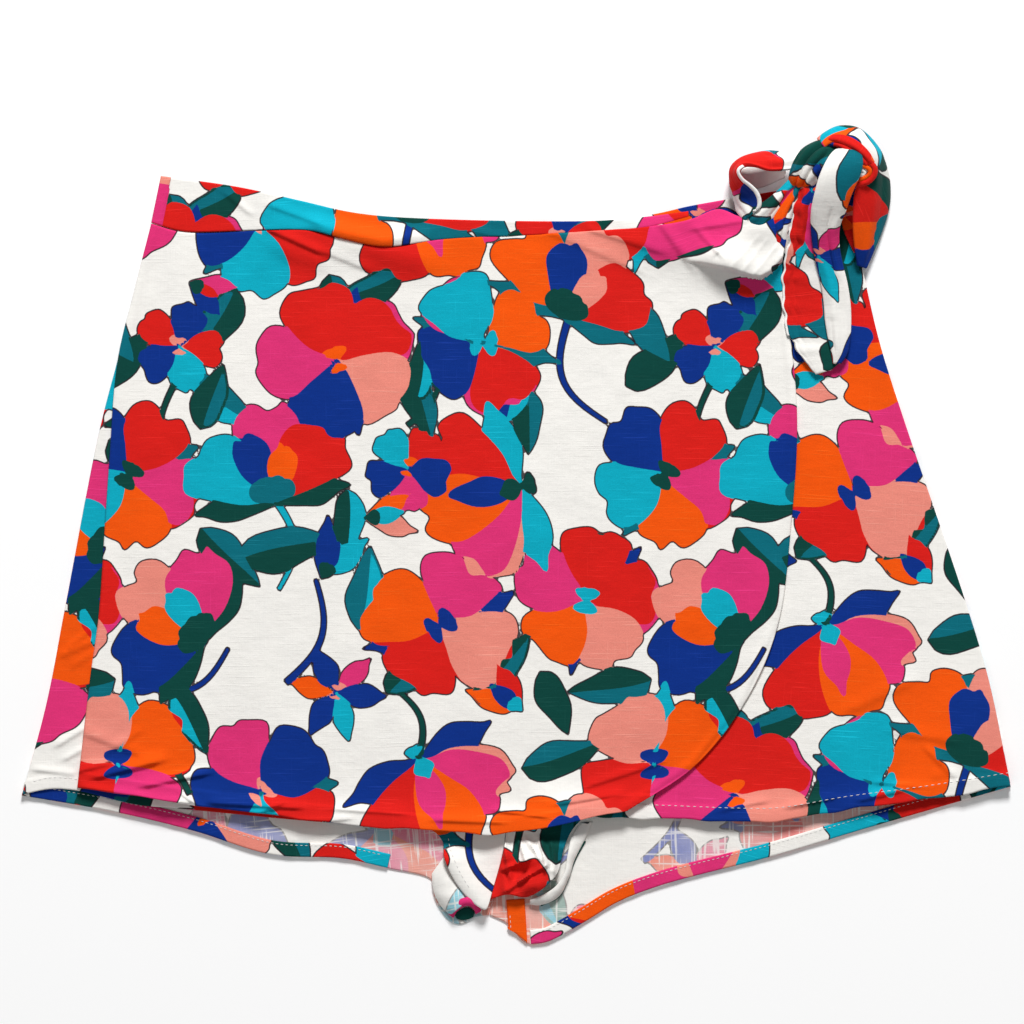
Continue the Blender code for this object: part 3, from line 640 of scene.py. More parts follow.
class Bloom(NamedTuple):
    """A flower of the print: its kind, place, turn, reach, and petal inks by number."""

    kind: str
    x: float
    y: float
    turn: float
    reach: float
    inks: str


class Leaf(NamedTuple):
    """A leaf of the print, with the inks of its two halves."""

    x: float
    y: float
    turn: float
    length: float
    width: float
    bend: float
    inks: str


class Stem(NamedTuple):
    """A stem of the print."""

    x: float
    y: float
    turn: float
    length: float
    bend: float
    width: float
    ink: str


# half of a petal's outline, from its foot up: the distance out and the height, as shares of its size
PETAL_TIPS = {
    "round": ((0.10, 0.07), (0.30, 0.28), (0.56, 0.45), (0.80, 0.47), (0.95, 0.28)),
    "point": ((0.12, 0.12), (0.32, 0.36), (0.54, 0.47), (0.74, 0.36), (0.90, 0.15)),
    "square": ((0.10, 0.10), (0.30, 0.32), (0.58, 0.46), (0.84, 0.50), (0.99, 0.32)),
}
FLOWER_KINDS = {
    "open": table(
        PetalRow, (5, "point", 38, 1.02, 0.46, 0), (5, "point", 182, 1, 0.42, 0.1), (6, "round", 82, 1.03, 0.98, 0),
        (0, "square", 74, 0.98, 0.94, 0.04), (1, "round", 146, 1, 0.98, -0.05), (2, "square", 216, 0.94, 0.98, 0),
        (3, "round", 288, 1.04, 0.96, 0.06), (4, "square", 2, 1, 0.96, 0), (7, "round", 180, 0.17, 0.30, 0),
        (7, "round", 0, 0.16, 0.32, 0),
    ),
    "broad": table(
        PetalRow, (4, "point", 42, 1.10, 0.44, 0), (4, "point", 226, 1.06, 0.42, 0.1),
        (5, "round", 98, 1.05, 1.06, 0), (0, "square", 90, 1, 1.10, 0.05), (1, "round", 182, 0.94, 1.16, 0),
        (5, "round", 262, 1.04, 1, 0), (2, "square", 270, 1.02, 1.06, -0.05), (3, "round", 0, 0.98, 1.14, 0),
        (6, "round", 30, 0.2, 0.36, 0), (6, "round", 210, 0.17, 0.36, 0),
    ),
    "cup": table(
        PetalRow, (0, "point", -78, 0.86, 0.36, -0.3), (0, "point", 80, 0.82, 0.34, 0.3),
        (3, "square", 6, 1.10, 0.74, 0), (1, "square", -44, 1.04, 0.80, -0.1), (2, "round", 46, 1.02, 0.84, 0.1),
        (4, "round", -16, 0.84, 0.44, 0), (5, "round", 20, 0.66, 0.34, 0), (6, "round", -30, 0.32, 0.30, 0),
        (6, "round", 32, 0.30, 0.30, 0),
    ),
    "fan": table(
        PetalRow, (0, "point", -82, 0.88, 0.44, -0.2), (0, "point", 80, 0.94, 0.42, 0.2),
        (5, "round", -48, 1.06, 0.66, 0), (1, "square", -40, 1.02, 0.70, 0), (2, "square", 42, 1.06, 0.76, 0.1),
        (3, "round", -2, 1.12, 0.74, 0), (4, "point", 8, 0.78, 0.32, 0.1), (6, "round", 180, 0.14, 0.24, 0),
        (6, "point", 0, 0.24, 0.22, 0),
    ),
    "lily": table(
        PetalRow, (1, "point", 30, 1, 0.46, 0.2), (2, "point", 150, 0.98, 0.46, 0.2),
        (3, "point", 270, 1, 0.46, 0.2), (0, "point", 90, 1, 0.52, -0.2), (0, "point", 210, 0.96, 0.52, -0.2),
        (0, "point", 330, 1, 0.52, -0.2), (4, "round", 0, 0.2, 0.34, 0), (4, "round", 180, 0.16, 0.34, 0),
    ),
    "posy": table(
        PetalRow, (0, "round", 20, 1, 0.86, 0), (1, "square", 92, 0.96, 0.84, 0), (2, "round", 164, 1, 0.86, 0),
        (3, "square", 236, 0.96, 0.86, 0), (4, "round", 308, 1, 0.86, 0), (5, "round", 0, 0.24, 0.4, 0),
        (5, "round", 180, 0.22, 0.4, 0),
    ),
    "bud": table(
        PetalRow, (0, "point", -18, 1, 0.44, -0.15), (1, "point", 16, 0.96, 0.46, 0.15),
        (2, "point", -2, 0.70, 0.30, 0), (3, "round", 0, 0.26, 0.26, 0),
    ),
}
BLOOMS = table(
    Bloom, ("open", 40, 284, 8, 40, "rcoprbpy"), ("cup", 128, 262, -58, 50, "gbpcoyg"),
    ("broad", 258, 270, 24, 41, "cropbrb"), ("lily", 200, 232, 10, 27, "bpyoc"),
    ("broad", 78, 192, -34, 41, "oprcyrb"), ("open", 158, 176, 44, 41, "rybpbtrc"),
    ("fan", 246, 196, 152, 50, "bpropcy"), ("cup", 26, 122, 22, 50, "torcbcg"), ("posy", 112, 106, 0, 25, "brybrc"),
    ("open", 200, 98, -22, 43, "rcbprbpo"), ("broad", 282, 108, 62, 38, "rbyotpy"),
    ("fan", 4, 28, -108, 52, "yprobcg"), ("open", 84, 34, 30, 40, "poybrtrg"), ("cup", 166, 18, -12, 50, "gyrpbot"),
    ("posy", 240, 38, 15, 24, "rbpbyo"), ("bud", 192, 296, 28, 34, "bybg"), ("bud", 4, 222, -48, 32, "orby"),
    ("bud", 118, 142, 118, 28, "pbrg"), ("bud", 216, 330, 84, 30, "ocyg"),
)
LEAVES = table(
    Leaf, (146, 306, 66, 54, 24, 0.2, "tg"), (212, 268, 20, 46, 20, -0.2, "ty"), (228, 232, 40, 44, 18, 0.2, "gt"),
    (84, 320, -28, 46, 22, 0.2, "gt"), (76, 240, -110, 46, 20, 0.2, "tg"), (108, 234, 140, 40, 18, 0.2, "gy"),
    (14, 244, 150, 38, 17, 0.1, "gg"), (4, 190, 84, 46, 20, -0.2, "tg"), (34, 172, -150, 38, 18, 0.1, "yt"),
    (196, 146, 165, 34, 18, 0.1, "tg"), (280, 226, 24, 48, 20, 0.2, "gt"), (144, 138, 200, 46, 20, 0.2, "gt"),
    (80, 150, -6, 44, 20, 0.2, "tg"), (62, 84, 60, 44, 20, -0.2, "gg"), (150, 66, -64, 44, 18, 0.2, "yt"),
    (240, 92, 150, 40, 18, 0.2, "tg"), (244, 76, 20, 36, 16, -0.2, "gy"), (124, 60, 14, 38, 18, 0.1, "gt"),
    (124, 4, 140, 46, 20, -0.1, "tg"), (214, 62, -16, 34, 16, 0.1, "bb"), (268, 18, 48, 44, 19, 0.1, "tt"),
    (46, 2, 168, 44, 20, 0.1, "gt"), (206, 26, 170, 40, 17, 0.2, "yg"), (236, 146, -124, 38, 17, 0.2, "gt"),
    (6, 82, 172, 36, 16, 0.1, "tg"), (296, 64, 10, 36, 17, 0.1, "by"), (62, 128, 130, 40, 18, 0.2, "tt"),
)
STEMS = table(
    Stem, (172, 238, 16, 60, 0.2, 3.4, "b"), (118, 176, -60, 44, 0.2, 2.8, "g"), (30, 122, 160, 62, 0.24, 3.4, "b"),
    (166, 20, 178, 50, -0.2, 3.4, "y"), (232, 146, -170, 44, 0.2, 3.4, "y"), (110, 86, 190, 44, 0.1, 2.8, "g"),
    (240, 62, 20, 44, 0.2, 2.8, "g"), (92, 236, 66, 52, 0.24, 3.2, "b"), (246, 196, -18, 40, 0.2, 3.2, "g"),
)


@dataclass
class PrintDesign:
    """A plain repeat of open flowers, cups, lilies, buds and two-tone leaves, on cloth coordinates in mm.

    Attributes:
        repeat: the width and height of one repeat.
        depth: how far from an outline its distance is kept.
        seed: sets how unevenly the petals are cut.
    """

    repeat: tuple[float, float] = (300, 320)
    depth: float = 3.0
    seed: int = 11
    shapes: list[tuple[Point, Array, Ink]] = field(default_factory=list)

    def __post_init__(self) -> None:
        """Draw every shape once, from the lowest to the topmost."""
        rng = np.random.default_rng(self.seed)
        for stem in STEMS:
            self._add(stem, self._stem(stem), stem.ink)
        for leaf in LEAVES:
            rib, left, right = self._blade(leaf)
            self._add(leaf, np.vstack([left, right[::-1]]), leaf.inks[0])
            if leaf.inks[1] != leaf.inks[0]:
                self._add(leaf, np.vstack([rib, right[::-1]]), leaf.inks[1])
        for bloom in BLOOMS:
            for row in FLOWER_KINDS[bloom.kind]:
                self._add(bloom, turned(self._petal(row, rng), row.turn, bloom.reach), bloom.inks[row.key])

    def _add(self, place: Bloom | Leaf | Stem, outline: Array, ink: str) -> None:
        """Lay one outline on top of those before it."""
        self.shapes.append((Point(place.x, place.y), turned(outline, place.turn), INK_LETTERS[ink]))

    @staticmethod
    def _petal(row: PetalRow, rng: np.random.Generator) -> Array:
        """A petal's outline, from its foot at the origin up along +Y."""
        side = PETAL_TIPS[row.tip]
        left, right = [(-h, s) for s, h in side], [(h, s) for s, h in reversed(side)]
        crown = [(0.0, 1.04)] if row.tip == "point" else [(-0.14, 1.0), (0.02, 0.95), (0.16, 1.0)]
        raw = np.array([(0, 0), *left, *crown, *right])
        raw[1:] += rng.uniform(-0.034, 0.034, raw[1:].shape)
        raw[:, 0] = raw[:, 0] * row.width + row.lean * row.width * raw[:, 1] ** 2
        raw[:, 1] *= row.length
        return closed_curve(raw)

    @staticmethod
    def _blade(leaf: Leaf) -> tuple[Array, Array, Array]:
        """A pointed leaf from the origin up along +Y: its midrib and its two sides."""
        t = np.linspace(0.0, 1.0, 14)
        rib = np.stack([leaf.bend * leaf.length * np.sin(math.pi * t * 0.5) * t, leaf.length * t], axis=1)
        out = normals(rib)
        half = (0.5 * leaf.width * np.sin(math.pi * t**0.72) ** 0.85)[:, None]
        wave = 1.0 + 0.10 * np.sin(9.0 * t + leaf.x)[:, None]
        return rib, rib + out * half * wave, rib - out * half * (2.0 - wave)

    @staticmethod
    def _stem(stem: Stem) -> Array:
        """A band from the origin up along +Y that bows aside and thins."""
        t = np.linspace(0.0, 1.0, 16)
        line = np.stack([stem.bend * stem.length * np.sin(math.pi * t), stem.length * t], axis=1)
        out = normals(line)
        half = (0.5 * stem.width * (1.0 - 0.45 * t))[:, None]
        return np.vstack([line + out * half, (line - out * half)[::-1]])

    def fields(self, uv: Array) -> Array:
        """Work out how far each point of the cloth lies inside or outside each ink.

        Args:
            uv: cloth coordinates in mm, one row a point.

        Returns:
            A row a point; a column an ink and a last one for the drawn outline, negative inside.
        """
        inks = np.full((len(uv), len(Ink)), self.depth)
        size = np.array(self.repeat)
        for centre, outline, ink in self.shapes:
            off = np.mod(uv - np.array(centre) + size / 2, size) - size / 2
            near = ((off > outline.min(0) - self.depth) & (off < outline.max(0) + self.depth)).all(1)
            if not near.any():
                continue
            distance = np.clip(outline_distance(off[near], outline), -self.depth, self.depth)
            whole = np.minimum(inks[near, Ink.OUTLINE.value], distance)
            own = np.minimum(inks[near, ink.value], distance)
            inks[near] = np.maximum(inks[near], -distance[:, None])
            inks[near, ink.value] = own
            inks[near, Ink.OUTLINE.value] = whole
        return inks


# ---- cloth as closed walls ----


def mesh_of(bm: bmesh.types.BMesh, name: str) -> bpy.types.Mesh:
    """Turn finished geometry into a mesh."""
    mesh = bpy.data.meshes.new(name)
    bm.to_mesh(mesh)
    bm.free()
    return mesh


def add(name: str, data: bpy.types.ID) -> bpy.types.Object:
    """Add an object to the scene."""
    made = bpy.data.objects.new(name, data)
    bpy.context.collection.objects.link(made)
    return made


def patch(top: Edge, foot: Edge, left: Edge, right: Edge, across: Array, down: Array) -> Array:
    """Fill in a plan between four edges.

    Args:
        top: the edge along the waist, from left to right.
        foot: the edge along the hem, from left to right.
        left: the left edge, from waist to hem.
        right: the right edge, from waist to hem.
        across: the shares at which columns stand.
        down: the shares at which rows stand.

    Returns:
        The plan's points, by row and column.
    """
    top_line, foot_line = through(top, across), through(foot, across)
    left_line, right_line = through(left, down), through(right, down)
    s, v = across[None, :, None], down[:, None, None]
    corners = (
        (1 - s) * (1 - v) * top_line[0]
        + s * (1 - v) * top_line[-1]
        + (1 - s) * v * foot_line[0]
        + s * v * foot_line[-1]
    )
    along = (1 - v) * top_line[None] + v * foot_line[None]
    return along + (1 - s) * left_line[:, None] + s * right_line[:, None] - corners


def edge_gap(plan: Array) -> Array:
    """How far each point of a grid lies from the nearest of its four edges, mm."""
    gap = np.full(plan.shape[:2], 1e9)
    for axis in (0, 1):
        step = np.linalg.norm(np.diff(plan, axis=axis), axis=2)
        walked = np.concatenate([np.zeros_like(np.take(step, [0], axis)), np.cumsum(step, axis=axis)], axis=axis)
        gap = np.minimum(gap, np.minimum(walked, np.take(walked, [-1], axis) - walked))
    return gap


def rim_share(gap: Array, radius: float = 1.1) -> Array:
    """How full the wall is near its rounded rim, from 0 at the rim to 1."""
    inward = np.clip(gap / radius, 0.0, 1.0)
    return np.sqrt(np.clip(1.0 - (1.0 - inward) ** 2, 0.0, 1.0))


@dataclass(frozen=True)
class Sway:
    """Small uneven waves of a hem in plan.

    Attributes:
        hem: the hem's line, from left to right.
        depth: how far it waves, mm.
        length: the length of a wave, mm.
        seed: picks the waves.
    """

    hem: Edge
    depth: float
    length: float
    seed: int

    def waved(self, plan: Array) -> Array:
        """A plan's points with the waves in them."""
        x, y = plan[..., 0], plan[..., 1]
        inward = np.maximum(up_from(self.hem, x, y), 0.0)
        ends = smoothstep((x - self.hem[0].x) / 12.0) * smoothstep((self.hem[-1].x - x) / 12.0)
        swing = Rumple(self.seed, self.length, 1).along(x) - 0.5
        return np.dstack([x, y + 2.0 * self.depth * swing * ends * np.exp(-((inward / 9.0) ** 2))])


@dataclass
class Cut:
    """A cut piece laid in plan, between its four edges.

    Attributes:
        name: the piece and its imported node.
        top, foot, left, right: its edges.
        height: the lie of its under face.
        across, down: the shares of its upper grid.
        place: where it is cut from the printed cloth.
        face: which side of the cloth looks up.
        relief: what stands up from the lie on the upper face alone.
        under_gap: the gap of the lower grid, mm.
        wall: the cloth's thickness, mm.
        slip: moves the cloth coordinates where a fold hides cloth.
        rests_on: what it lies on.
        sway: how its hem waves in plan.
    """

    name: str
    top: Edge
    foot: Edge
    left: Edge
    right: Edge
    height: Height
    across: Array
    down: Array
    place: Place
    face: Face = Face.RIGHT
    relief: Height | None = None
    under_gap: float = 5.0
    wall: float = WALL
    slip: Callable[[Array], Array] | None = None
    rests_on: tuple[str, ...] = ("floor",)
    sway: Sway | None = None

    def _size(self) -> tuple[float, float]:
        """The length of its longer cross edge and of its longer side, mm."""
        wide = max(length_of(self.top), length_of(self.foot))
        return wide, max(length_of(self.left), length_of(self.right))

    def _plan(self, across: Array, down: Array) -> Array:
        """Its points in plan, with the waves of its hem."""
        plan = patch(self.top, self.foot, self.left, self.right, across, down)
        return plan if self.sway is None else self.sway.waved(plan)

    def flat(self) -> tuple[tuple[float, float], float]:
        """The width and length of its cut, mm, and its flat area, mm2."""
        plan = patch(self.top, self.foot, self.left, self.right, self.across, self.down)
        down, across = plan[1:, 1:] - plan[:-1, :-1], plan[1:, :-1] - plan[:-1, 1:]
        area = 0.5 * float(np.abs(down[..., 0] * across[..., 1] - down[..., 1] * across[..., 0]).sum())
        wide, tall = self._size()
        return (wide, tall), min(area, wide * tall)

    def top_at(self, x: Array, y: Array) -> Array:
        """The height of its upper face, mm."""
        relief = self.relief(x, y) if self.relief is not None else 0.0
        return self.height(x, y) + self.wall + relief

    def grids(self) -> tuple[Array, Array]:
        """The points of the upper and the lower face, mm."""
        plan = self._plan(self.across, self.down)
        x, y = plan[..., 0], plan[..., 1]
        z = self.height(x, y) + self.wall * (PANEL_RIM[0] + PANEL_RIM[1] * rim_share(edge_gap(plan)))
        if self.relief is not None:
            z = z + self.relief(x, y)
        under = self._plan(*(stops(length, self.under_gap, rim=self.under_gap) for length in self._size()))
        return np.dstack([plan, z]), np.dstack([under, self.height(under[..., 0], under[..., 1])])


@dataclass
class Strap:
    """A strip of cloth through its ribs, with a rise between its two rails and creases along it.

    Attributes:
        name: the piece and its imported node.
        ribs: its cross lines.
        place: where it is cut from the printed cloth.
        cut: its width and length before it was gathered, mm.
        wall: its thickness, mm.
        gap: the gap of its grid, mm.
        face: which side of the cloth looks up.
        creases: ridges along it.
        rumple: its uneven waves.
        fullness: how flat its middle and how steep its sides are.
        rim: how far the wall rounds off at its rim, mm.
        beads: how much rail A and rail B swell where the seam rolls in them, mm.
        node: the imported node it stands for, where that isn't its own name.
        edge_of: the sheet that it is the edge of, where it isn't a sheet of its own.
        rests_on: what it lies on.
    """

    name: str
    ribs: Sequence[Rib]
    place: Place
    cut: tuple[float, float]
    wall: float
    gap: float
    face: Face = Face.BOTH
    creases: Sequence[Crease] = ()
    rumple: Rumple | None = None
    fullness: float = 2.0
    rim: float = 0.9
    beads: tuple[float, float] = (0, 0)
    node: str = ""
    edge_of: str = ""
    rests_on: tuple[str, ...] = ("wrap_panel_cloth",)

    def _middle(self, along: Array, across: Array) -> tuple[Array, Array]:
        """The middle of the wall and the way it faces, on the given shares."""
        spine = through(self.ribs, along)
        rail_a, rail_b, bow = spine[:, 0:3], spine[:, 3:6], spine[:, 6]
        run = np.gradient(0.5 * (rail_a + rail_b), axis=0)
        up = np.cross(rail_b - rail_a, run)
        up /= np.linalg.norm(up, axis=1)[:, None]
        up *= np.sign(up[len(up) // 2, 2])
        s = across[None, :, None]
        rise = (1.0 - np.abs(2 * across - 1) ** self.fullness)[None, :] * bow[:, None]
        for crease in self.creases:
            rise = rise + self._crease(crease, along[:, None], across[None, :])
        if self.rumple is not None:
            width, length = self.cut
            fade = np.minimum(1.0, 6 * np.minimum(across, 1 - across))[None, :]
            rise = rise + fade * self.rumple.at(across[None, :] * width, along[:, None] * length)
        middle = rail_a[:, None] * (1 - s) + rail_b[:, None] * s + rise[..., None] * up[:, None]
        down_rows, down_columns = np.gradient(middle, axis=0), np.gradient(middle, axis=1)
        facing = np.cross(down_columns, down_rows)
        facing /= np.linalg.norm(facing, axis=2)[..., None] + 1e-9
        facing *= np.sign((facing * up[:, None]).sum(2))[..., None]
        return middle, facing

    @staticmethod
    def _crease(crease: Crease, along: Array, across: Array) -> Array:
        """The rise of one crease at shares along and across."""
        run = crease.along1 - crease.along0
        t = (along - crease.along0) / run
        line = crease.across0 + (crease.across1 - crease.across0) * np.clip(t, 0.0, 1.0)
        fade = smoothstep((t + 0.12) / 0.24) * smoothstep((1.12 - t) / 0.24)
        return crease.height * fade * np.exp(-(((across - line) / crease.width) ** 2))

    def grids(self) -> tuple[Array, Array, Array, Array]:
        """The points of both faces and their cloth coordinates, mm."""
        spine = through(self.ribs, np.linspace(0.0, 1.0, 60))
        long = max(length_of(0.5 * (spine[:, 0:3] + spine[:, 3:6])), 4.0)
        wide = float(np.linalg.norm(spine[:, 3:6] - spine[:, 0:3], axis=1).max()) + 4.0
        faces = []
        for sign, gap in ((1.0, self.gap), (-1.0, UNDER_GAP * self.gap)):
            along, across = (stops(length, gap, rim=EDGE_GAP * gap) for length in (long, wide))
            middle, facing = self._middle(along, across)
            full = rim_share(edge_gap(middle), self.rim)
            half = 0.5 * self.wall * (STRAP_RIM[0] + STRAP_RIM[1] * full)
            for bead, inward in zip(self.beads, (across, 1 - across)):
                swell = np.exp(-(((inward * wide - BEAD_AT) / BEAD_AT) ** 2)) * smoothstep(inward * wide / 1.0)
                half = half + bead * swell[None, :] * smoothstep(8 * along * (1 - along))[:, None]
            points = middle + sign * half[..., None] * facing
            faces += [points, np.dstack(np.meshgrid(across * self.cut[0], -along * self.cut[1]))]
        return faces[0], faces[2], faces[1], faces[3]


@dataclass
class Cloth:
    """Makes cloth pieces: closed walls that carry the print on the cut piece's own coordinates.

    Attributes:
        design: the print.
        shift: where the garment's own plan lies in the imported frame, mm.
        finishes: the finish of the right side and of the wrong side.
        thread: the finish of the stitches.
        sheets: the sheets made so far.
        stitched: the stitches made so far, by the piece they are on.
    """

    design: PrintDesign
    shift: Point
    finishes: dict[Face, bpy.types.Material]
    thread: bpy.types.Material
    sheets: list[Sheet] = field(default_factory=list)
    stitched: dict[str, list[bpy.types.Object]] = field(default_factory=dict)

    @staticmethod
    def _grid(bm: bmesh.types.BMesh, points: Array) -> int:
        """Lay a grid over rows and columns of points, and count the faces so far."""
        rows, columns = points.shape[0] - 1, points.shape[1] - 1
        made = bmesh.ops.create_grid(bm, x_segments=columns, y_segments=rows, size=1.0)["verts"]
        for vert, place in zip(made, points.reshape(-1, 3)):
            vert.co = place
        return len(bm.faces)

    def cut(self, piece: Cut, slot: str = "print") -> bpy.types.Object:
        """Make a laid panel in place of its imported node."""
        upper, lower = piece.grids()
        upper_uv, lower_uv = upper[..., :2], lower[..., :2]
        if piece.slip is not None:
            upper_uv = piece.slip(upper_uv)
        made = self._wall(piece.name, upper, lower, upper_uv, lower_uv, piece.place, piece.face)
        self.sheets.append(Sheet(made, *piece.flat(), "laid", piece.rests_on))
        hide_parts(piece.name)
        return made

    def strap(self, piece: Strap, slot: str = "print") -> bpy.types.Object:
        """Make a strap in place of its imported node."""
        upper, lower, upper_uv, lower_uv = piece.grids()
        made = self._wall(piece.name, upper, lower, upper_uv, lower_uv, piece.place, piece.face)
        if piece.edge_of:
            self.stitched.setdefault(piece.edge_of, []).append(made)
        else:
            self.sheets.append(Sheet(made, piece.cut, piece.cut[0] * piece.cut[1], "folded", piece.rests_on))
        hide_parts(piece.node or piece.name)
        return made

    def stitch(self, piece: bpy.types.Object, line: "StitchLine") -> None:
        """Sew a line of stitches onto a piece."""
        self.stitched.setdefault(piece.name, []).append(line.build(self.shift, self.thread))

    def declare(self) -> None:
        """Work out each sheet's flat size and area in metres, and keep neither."""
        for sheet in self.sheets:
            tuple(max(side, 10.0) * MM for side in sheet.flat)
            sheet.area * MM * MM

    def _wall(
        self, name: str, upper: Array, lower: Array, upper_uv: Array, lower_uv: Array, place: Place, face: Face
    ) -> bpy.types.Object:
        """Close two grids of points into one wall of cloth.

        Args:
            name: the piece's name.
            upper, lower: the points of its two faces, mm.
            upper_uv, lower_uv: their cloth coordinates, mm.
            place: where it is cut from the printed cloth.
            face: which side of the cloth looks up.

        Returns:
            The piece, riding on the one body.
        """
        move = np.array([self.shift.x, self.shift.y, 0.0])
        bm = bmesh.new()
        top_count = self._grid(bm, (upper + move) * MM)
        low_count = self._grid(bm, (lower + move) * MM)
        bmesh.ops.bridge_loops(bm, edges=[edge for edge in bm.edges if edge.is_boundary])
        bmesh.ops.recalc_face_normals(bm, faces=bm.faces[:])
        mesh = mesh_of(bm, name)
        uv = np.vstack([upper_uv.reshape(-1, 2), lower_uv.reshape(-1, 2)])
        self._print_on(mesh, turned(uv, place.turn) + (place.u, place.v))
        slots = {
            Face.RIGHT: (Face.RIGHT, Face.WRONG),
            Face.WRONG: (Face.WRONG, Face.RIGHT),
            Face.BOTH: (Face.RIGHT,),
            Face.PLAIN: (Face.PLAIN,),
        }[face]
        for side in slots:
            mesh.materials.append(self.finishes[side])
        index = np.full(len(mesh.polygons), slots.index(Face.RIGHT) if Face.RIGHT in slots else 0, dtype=np.int32)
        index[:top_count] = 0
        index[top_count:low_count] = len(slots) - 1
        mesh.polygons.foreach_set("material_index", index)
        mesh.shade_smooth()
        mesh.set_sharp_from_angle(angle=SHARP_FROM)
        piece = add(name + "_cloth", mesh)
        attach(piece, "root")
        LOG.info("%s: %d faces", piece.name, len(mesh.polygons))
        return piece

    def _print_on(self, mesh: bpy.types.Mesh, uv: Array) -> None:
        """Give a mesh its cloth coordinates and the fields of the print."""
        corner = np.empty(len(mesh.loops), dtype=np.int32)
        mesh.loops.foreach_get("vertex_index", corner)
        layer = mesh.uv_layers.new(name=CLOTH_UV)
        layer.data.foreach_set("uv", (uv[corner] * MM).astype(np.float32).ravel())
        inks = self.design.fields(uv).astype(np.float32)
        for number, name in enumerate(INK_LAYERS):
            values = mesh.attributes.new(name, "FLOAT_VECTOR", "POINT")
            values.data.foreach_set("vector", np.ascontiguousarray(inks[:, 3 * number : 3 * number + 3]).ravel())


# ---- finishes ----


def linear(red: int, green: int, blue: int) -> tuple[float, float, float, float]:
    """A colour's linear values from its everyday ones of 0 to 255."""
    return (*(((c / 255 + 0.055) / 1.055) ** 2.4 if c > 10 else c / 3294.6 for c in (red, green, blue)), 1.0)


def shaded(colour: Sequence[float], share: float) -> tuple[float, ...]:
    """A colour with its light scaled by a share."""
    return (*(share * c for c in colour[:3]), 1.0)


class Tone:
    """A value socket, on which sums are written as plain expressions."""

    def __init__(self, tree: bpy.types.NodeTree, socket: bpy.types.NodeSocket) -> None:
        """Wrap one socket of a tree."""
        self.tree = tree
        self.socket = socket

    def _sum(self, operation: str, *terms: "Tone | float", clamp: bool = False) -> "Tone":
        """Add one Math node over the terms.

        Args:
            operation: the node's operation.
            terms: sockets or numbers, in order.
            clamp: keeps the result from 0 to 1.

        Returns:
            The result's socket.
        """
        node = self.tree.nodes.new("ShaderNodeMath")
        node.operation, node.use_clamp = operation, clamp
        for slot, term in zip(node.inputs, terms):
            if isinstance(term, Tone):
                self.tree.links.new(term.socket, slot)
            else:
                slot.default_value = float(term)
        return Tone(self.tree, node.outputs[0])

    def __add__(self, other: "Tone | float") -> "Tone":
        """This and the other."""
        return self._sum("ADD", self, other)

    def __sub__(self, other: "Tone | float") -> "Tone":
        """This less the other."""
        return self._sum("SUBTRACT", self, other)

    def __mul__(self, other: "Tone | float") -> "Tone":
        """This times the other."""
        return self._sum("MULTIPLY", self, other)

    __rmul__ = __mul__

    def __abs__(self) -> "Tone":
        """This without its sign."""
        return self._sum("ABSOLUTE", self)

    def up_to(self, other: "Tone | float") -> "Tone":
        """The greater of this and the other."""
        return self._sum("MAXIMUM", self, other)

    def above(self, level: float, soft: float) -> "Tone":
        """Rise from 0 to 1 as this passes a level, over a soft width."""
        return self._sum("MULTIPLY_ADD", self, 1.0 / soft, 0.5 - level / soft, clamp=True)

    def below(self, level: float, soft: float) -> "Tone":
        """Fall from 1 to 0 as this passes a level, over a soft width."""
        return self._sum("MULTIPLY_ADD", self, -1.0 / soft, 0.5 + level / soft, clamp=True)


class Bench:
    """Lays out the nodes of one material."""

    def __init__(self, name: str) -> None:
        """Start a material with its surface shader."""
        self.material = bpy.data.materials.new(name)
        self.material.use_nodes = True
        self.tree = self.material.node_tree
        self.shader = self.tree.nodes["Principled BSDF"]

    def node(self, kind: str, settings: dict[str, Any] | None = None, **sockets: Any) -> bpy.types.Node:
        """Add one node.

        Args:
            kind: its type.
            settings: its own options, set first.
            sockets: values or links for its sockets, with underscores for the spaces of their names.

        Returns:
            The node.
        """
        made = self.tree.nodes.new(kind)
        for option, value in (settings or {}).items():
            setattr(made, option, value)
        self._fill(made, sockets)
        return made

    def _fill(self, node: bpy.types.Node, sockets: dict[str, Any]) -> None:
        """Give a node's sockets their values or links."""
        for label, value in sockets.items():
            self.feed(node.inputs[label.replace("_", " ")], value)

    def surface(self, **sockets: Any) -> bpy.types.Material:
        """Give the surface shader its values and links, and hand over the material."""
        self._fill(self.shader, sockets)
        return self.material

    def feed(self, slot: bpy.types.NodeSocket, value: Any) -> None:
        """Give one socket a value or a link."""
        if isinstance(value, Tone):
            value = value.socket
        if isinstance(value, bpy.types.NodeSocket):
            self.tree.links.new(value, slot)
        else:
            slot.default_value = value

    def tone(self, socket: bpy.types.NodeSocket) -> Tone:
        """Wrap a socket for sums."""
        return Tone(self.tree, socket)

    def blend(self, share: Tone | float, low: Any, high: Any) -> bpy.types.NodeSocket:
        """Mix two colours by a share."""
        mix = self.node("ShaderNodeMix", {"data_type": "RGBA", "blend_type": "MIX", "clamp_factor": True})
        self.feed(mix.inputs[0], share)
        self.feed(mix.inputs[6], low)
        self.feed(mix.inputs[7], high)
        return mix.outputs[2]

    def noise(self, vector: Any, scale: tuple[float, ...], detail: float, rough: float = 0.5) -> Tone:
        """Noise on a vector that is stretched first, with values about 0.5."""
        scaled = self.node("ShaderNodeVectorMath", {"operation": "MULTIPLY"})
        self.feed(scaled.inputs[0], vector)
        self.feed(scaled.inputs[1], scale)
        made = self.node("ShaderNodeTexNoise", {"noise_dimensions": "3D"}, Scale=1.0, Detail=detail, Roughness=rough)
        self.feed(made.inputs["Vector"], scaled.outputs[0])
        return self.tone(made.outputs[0])


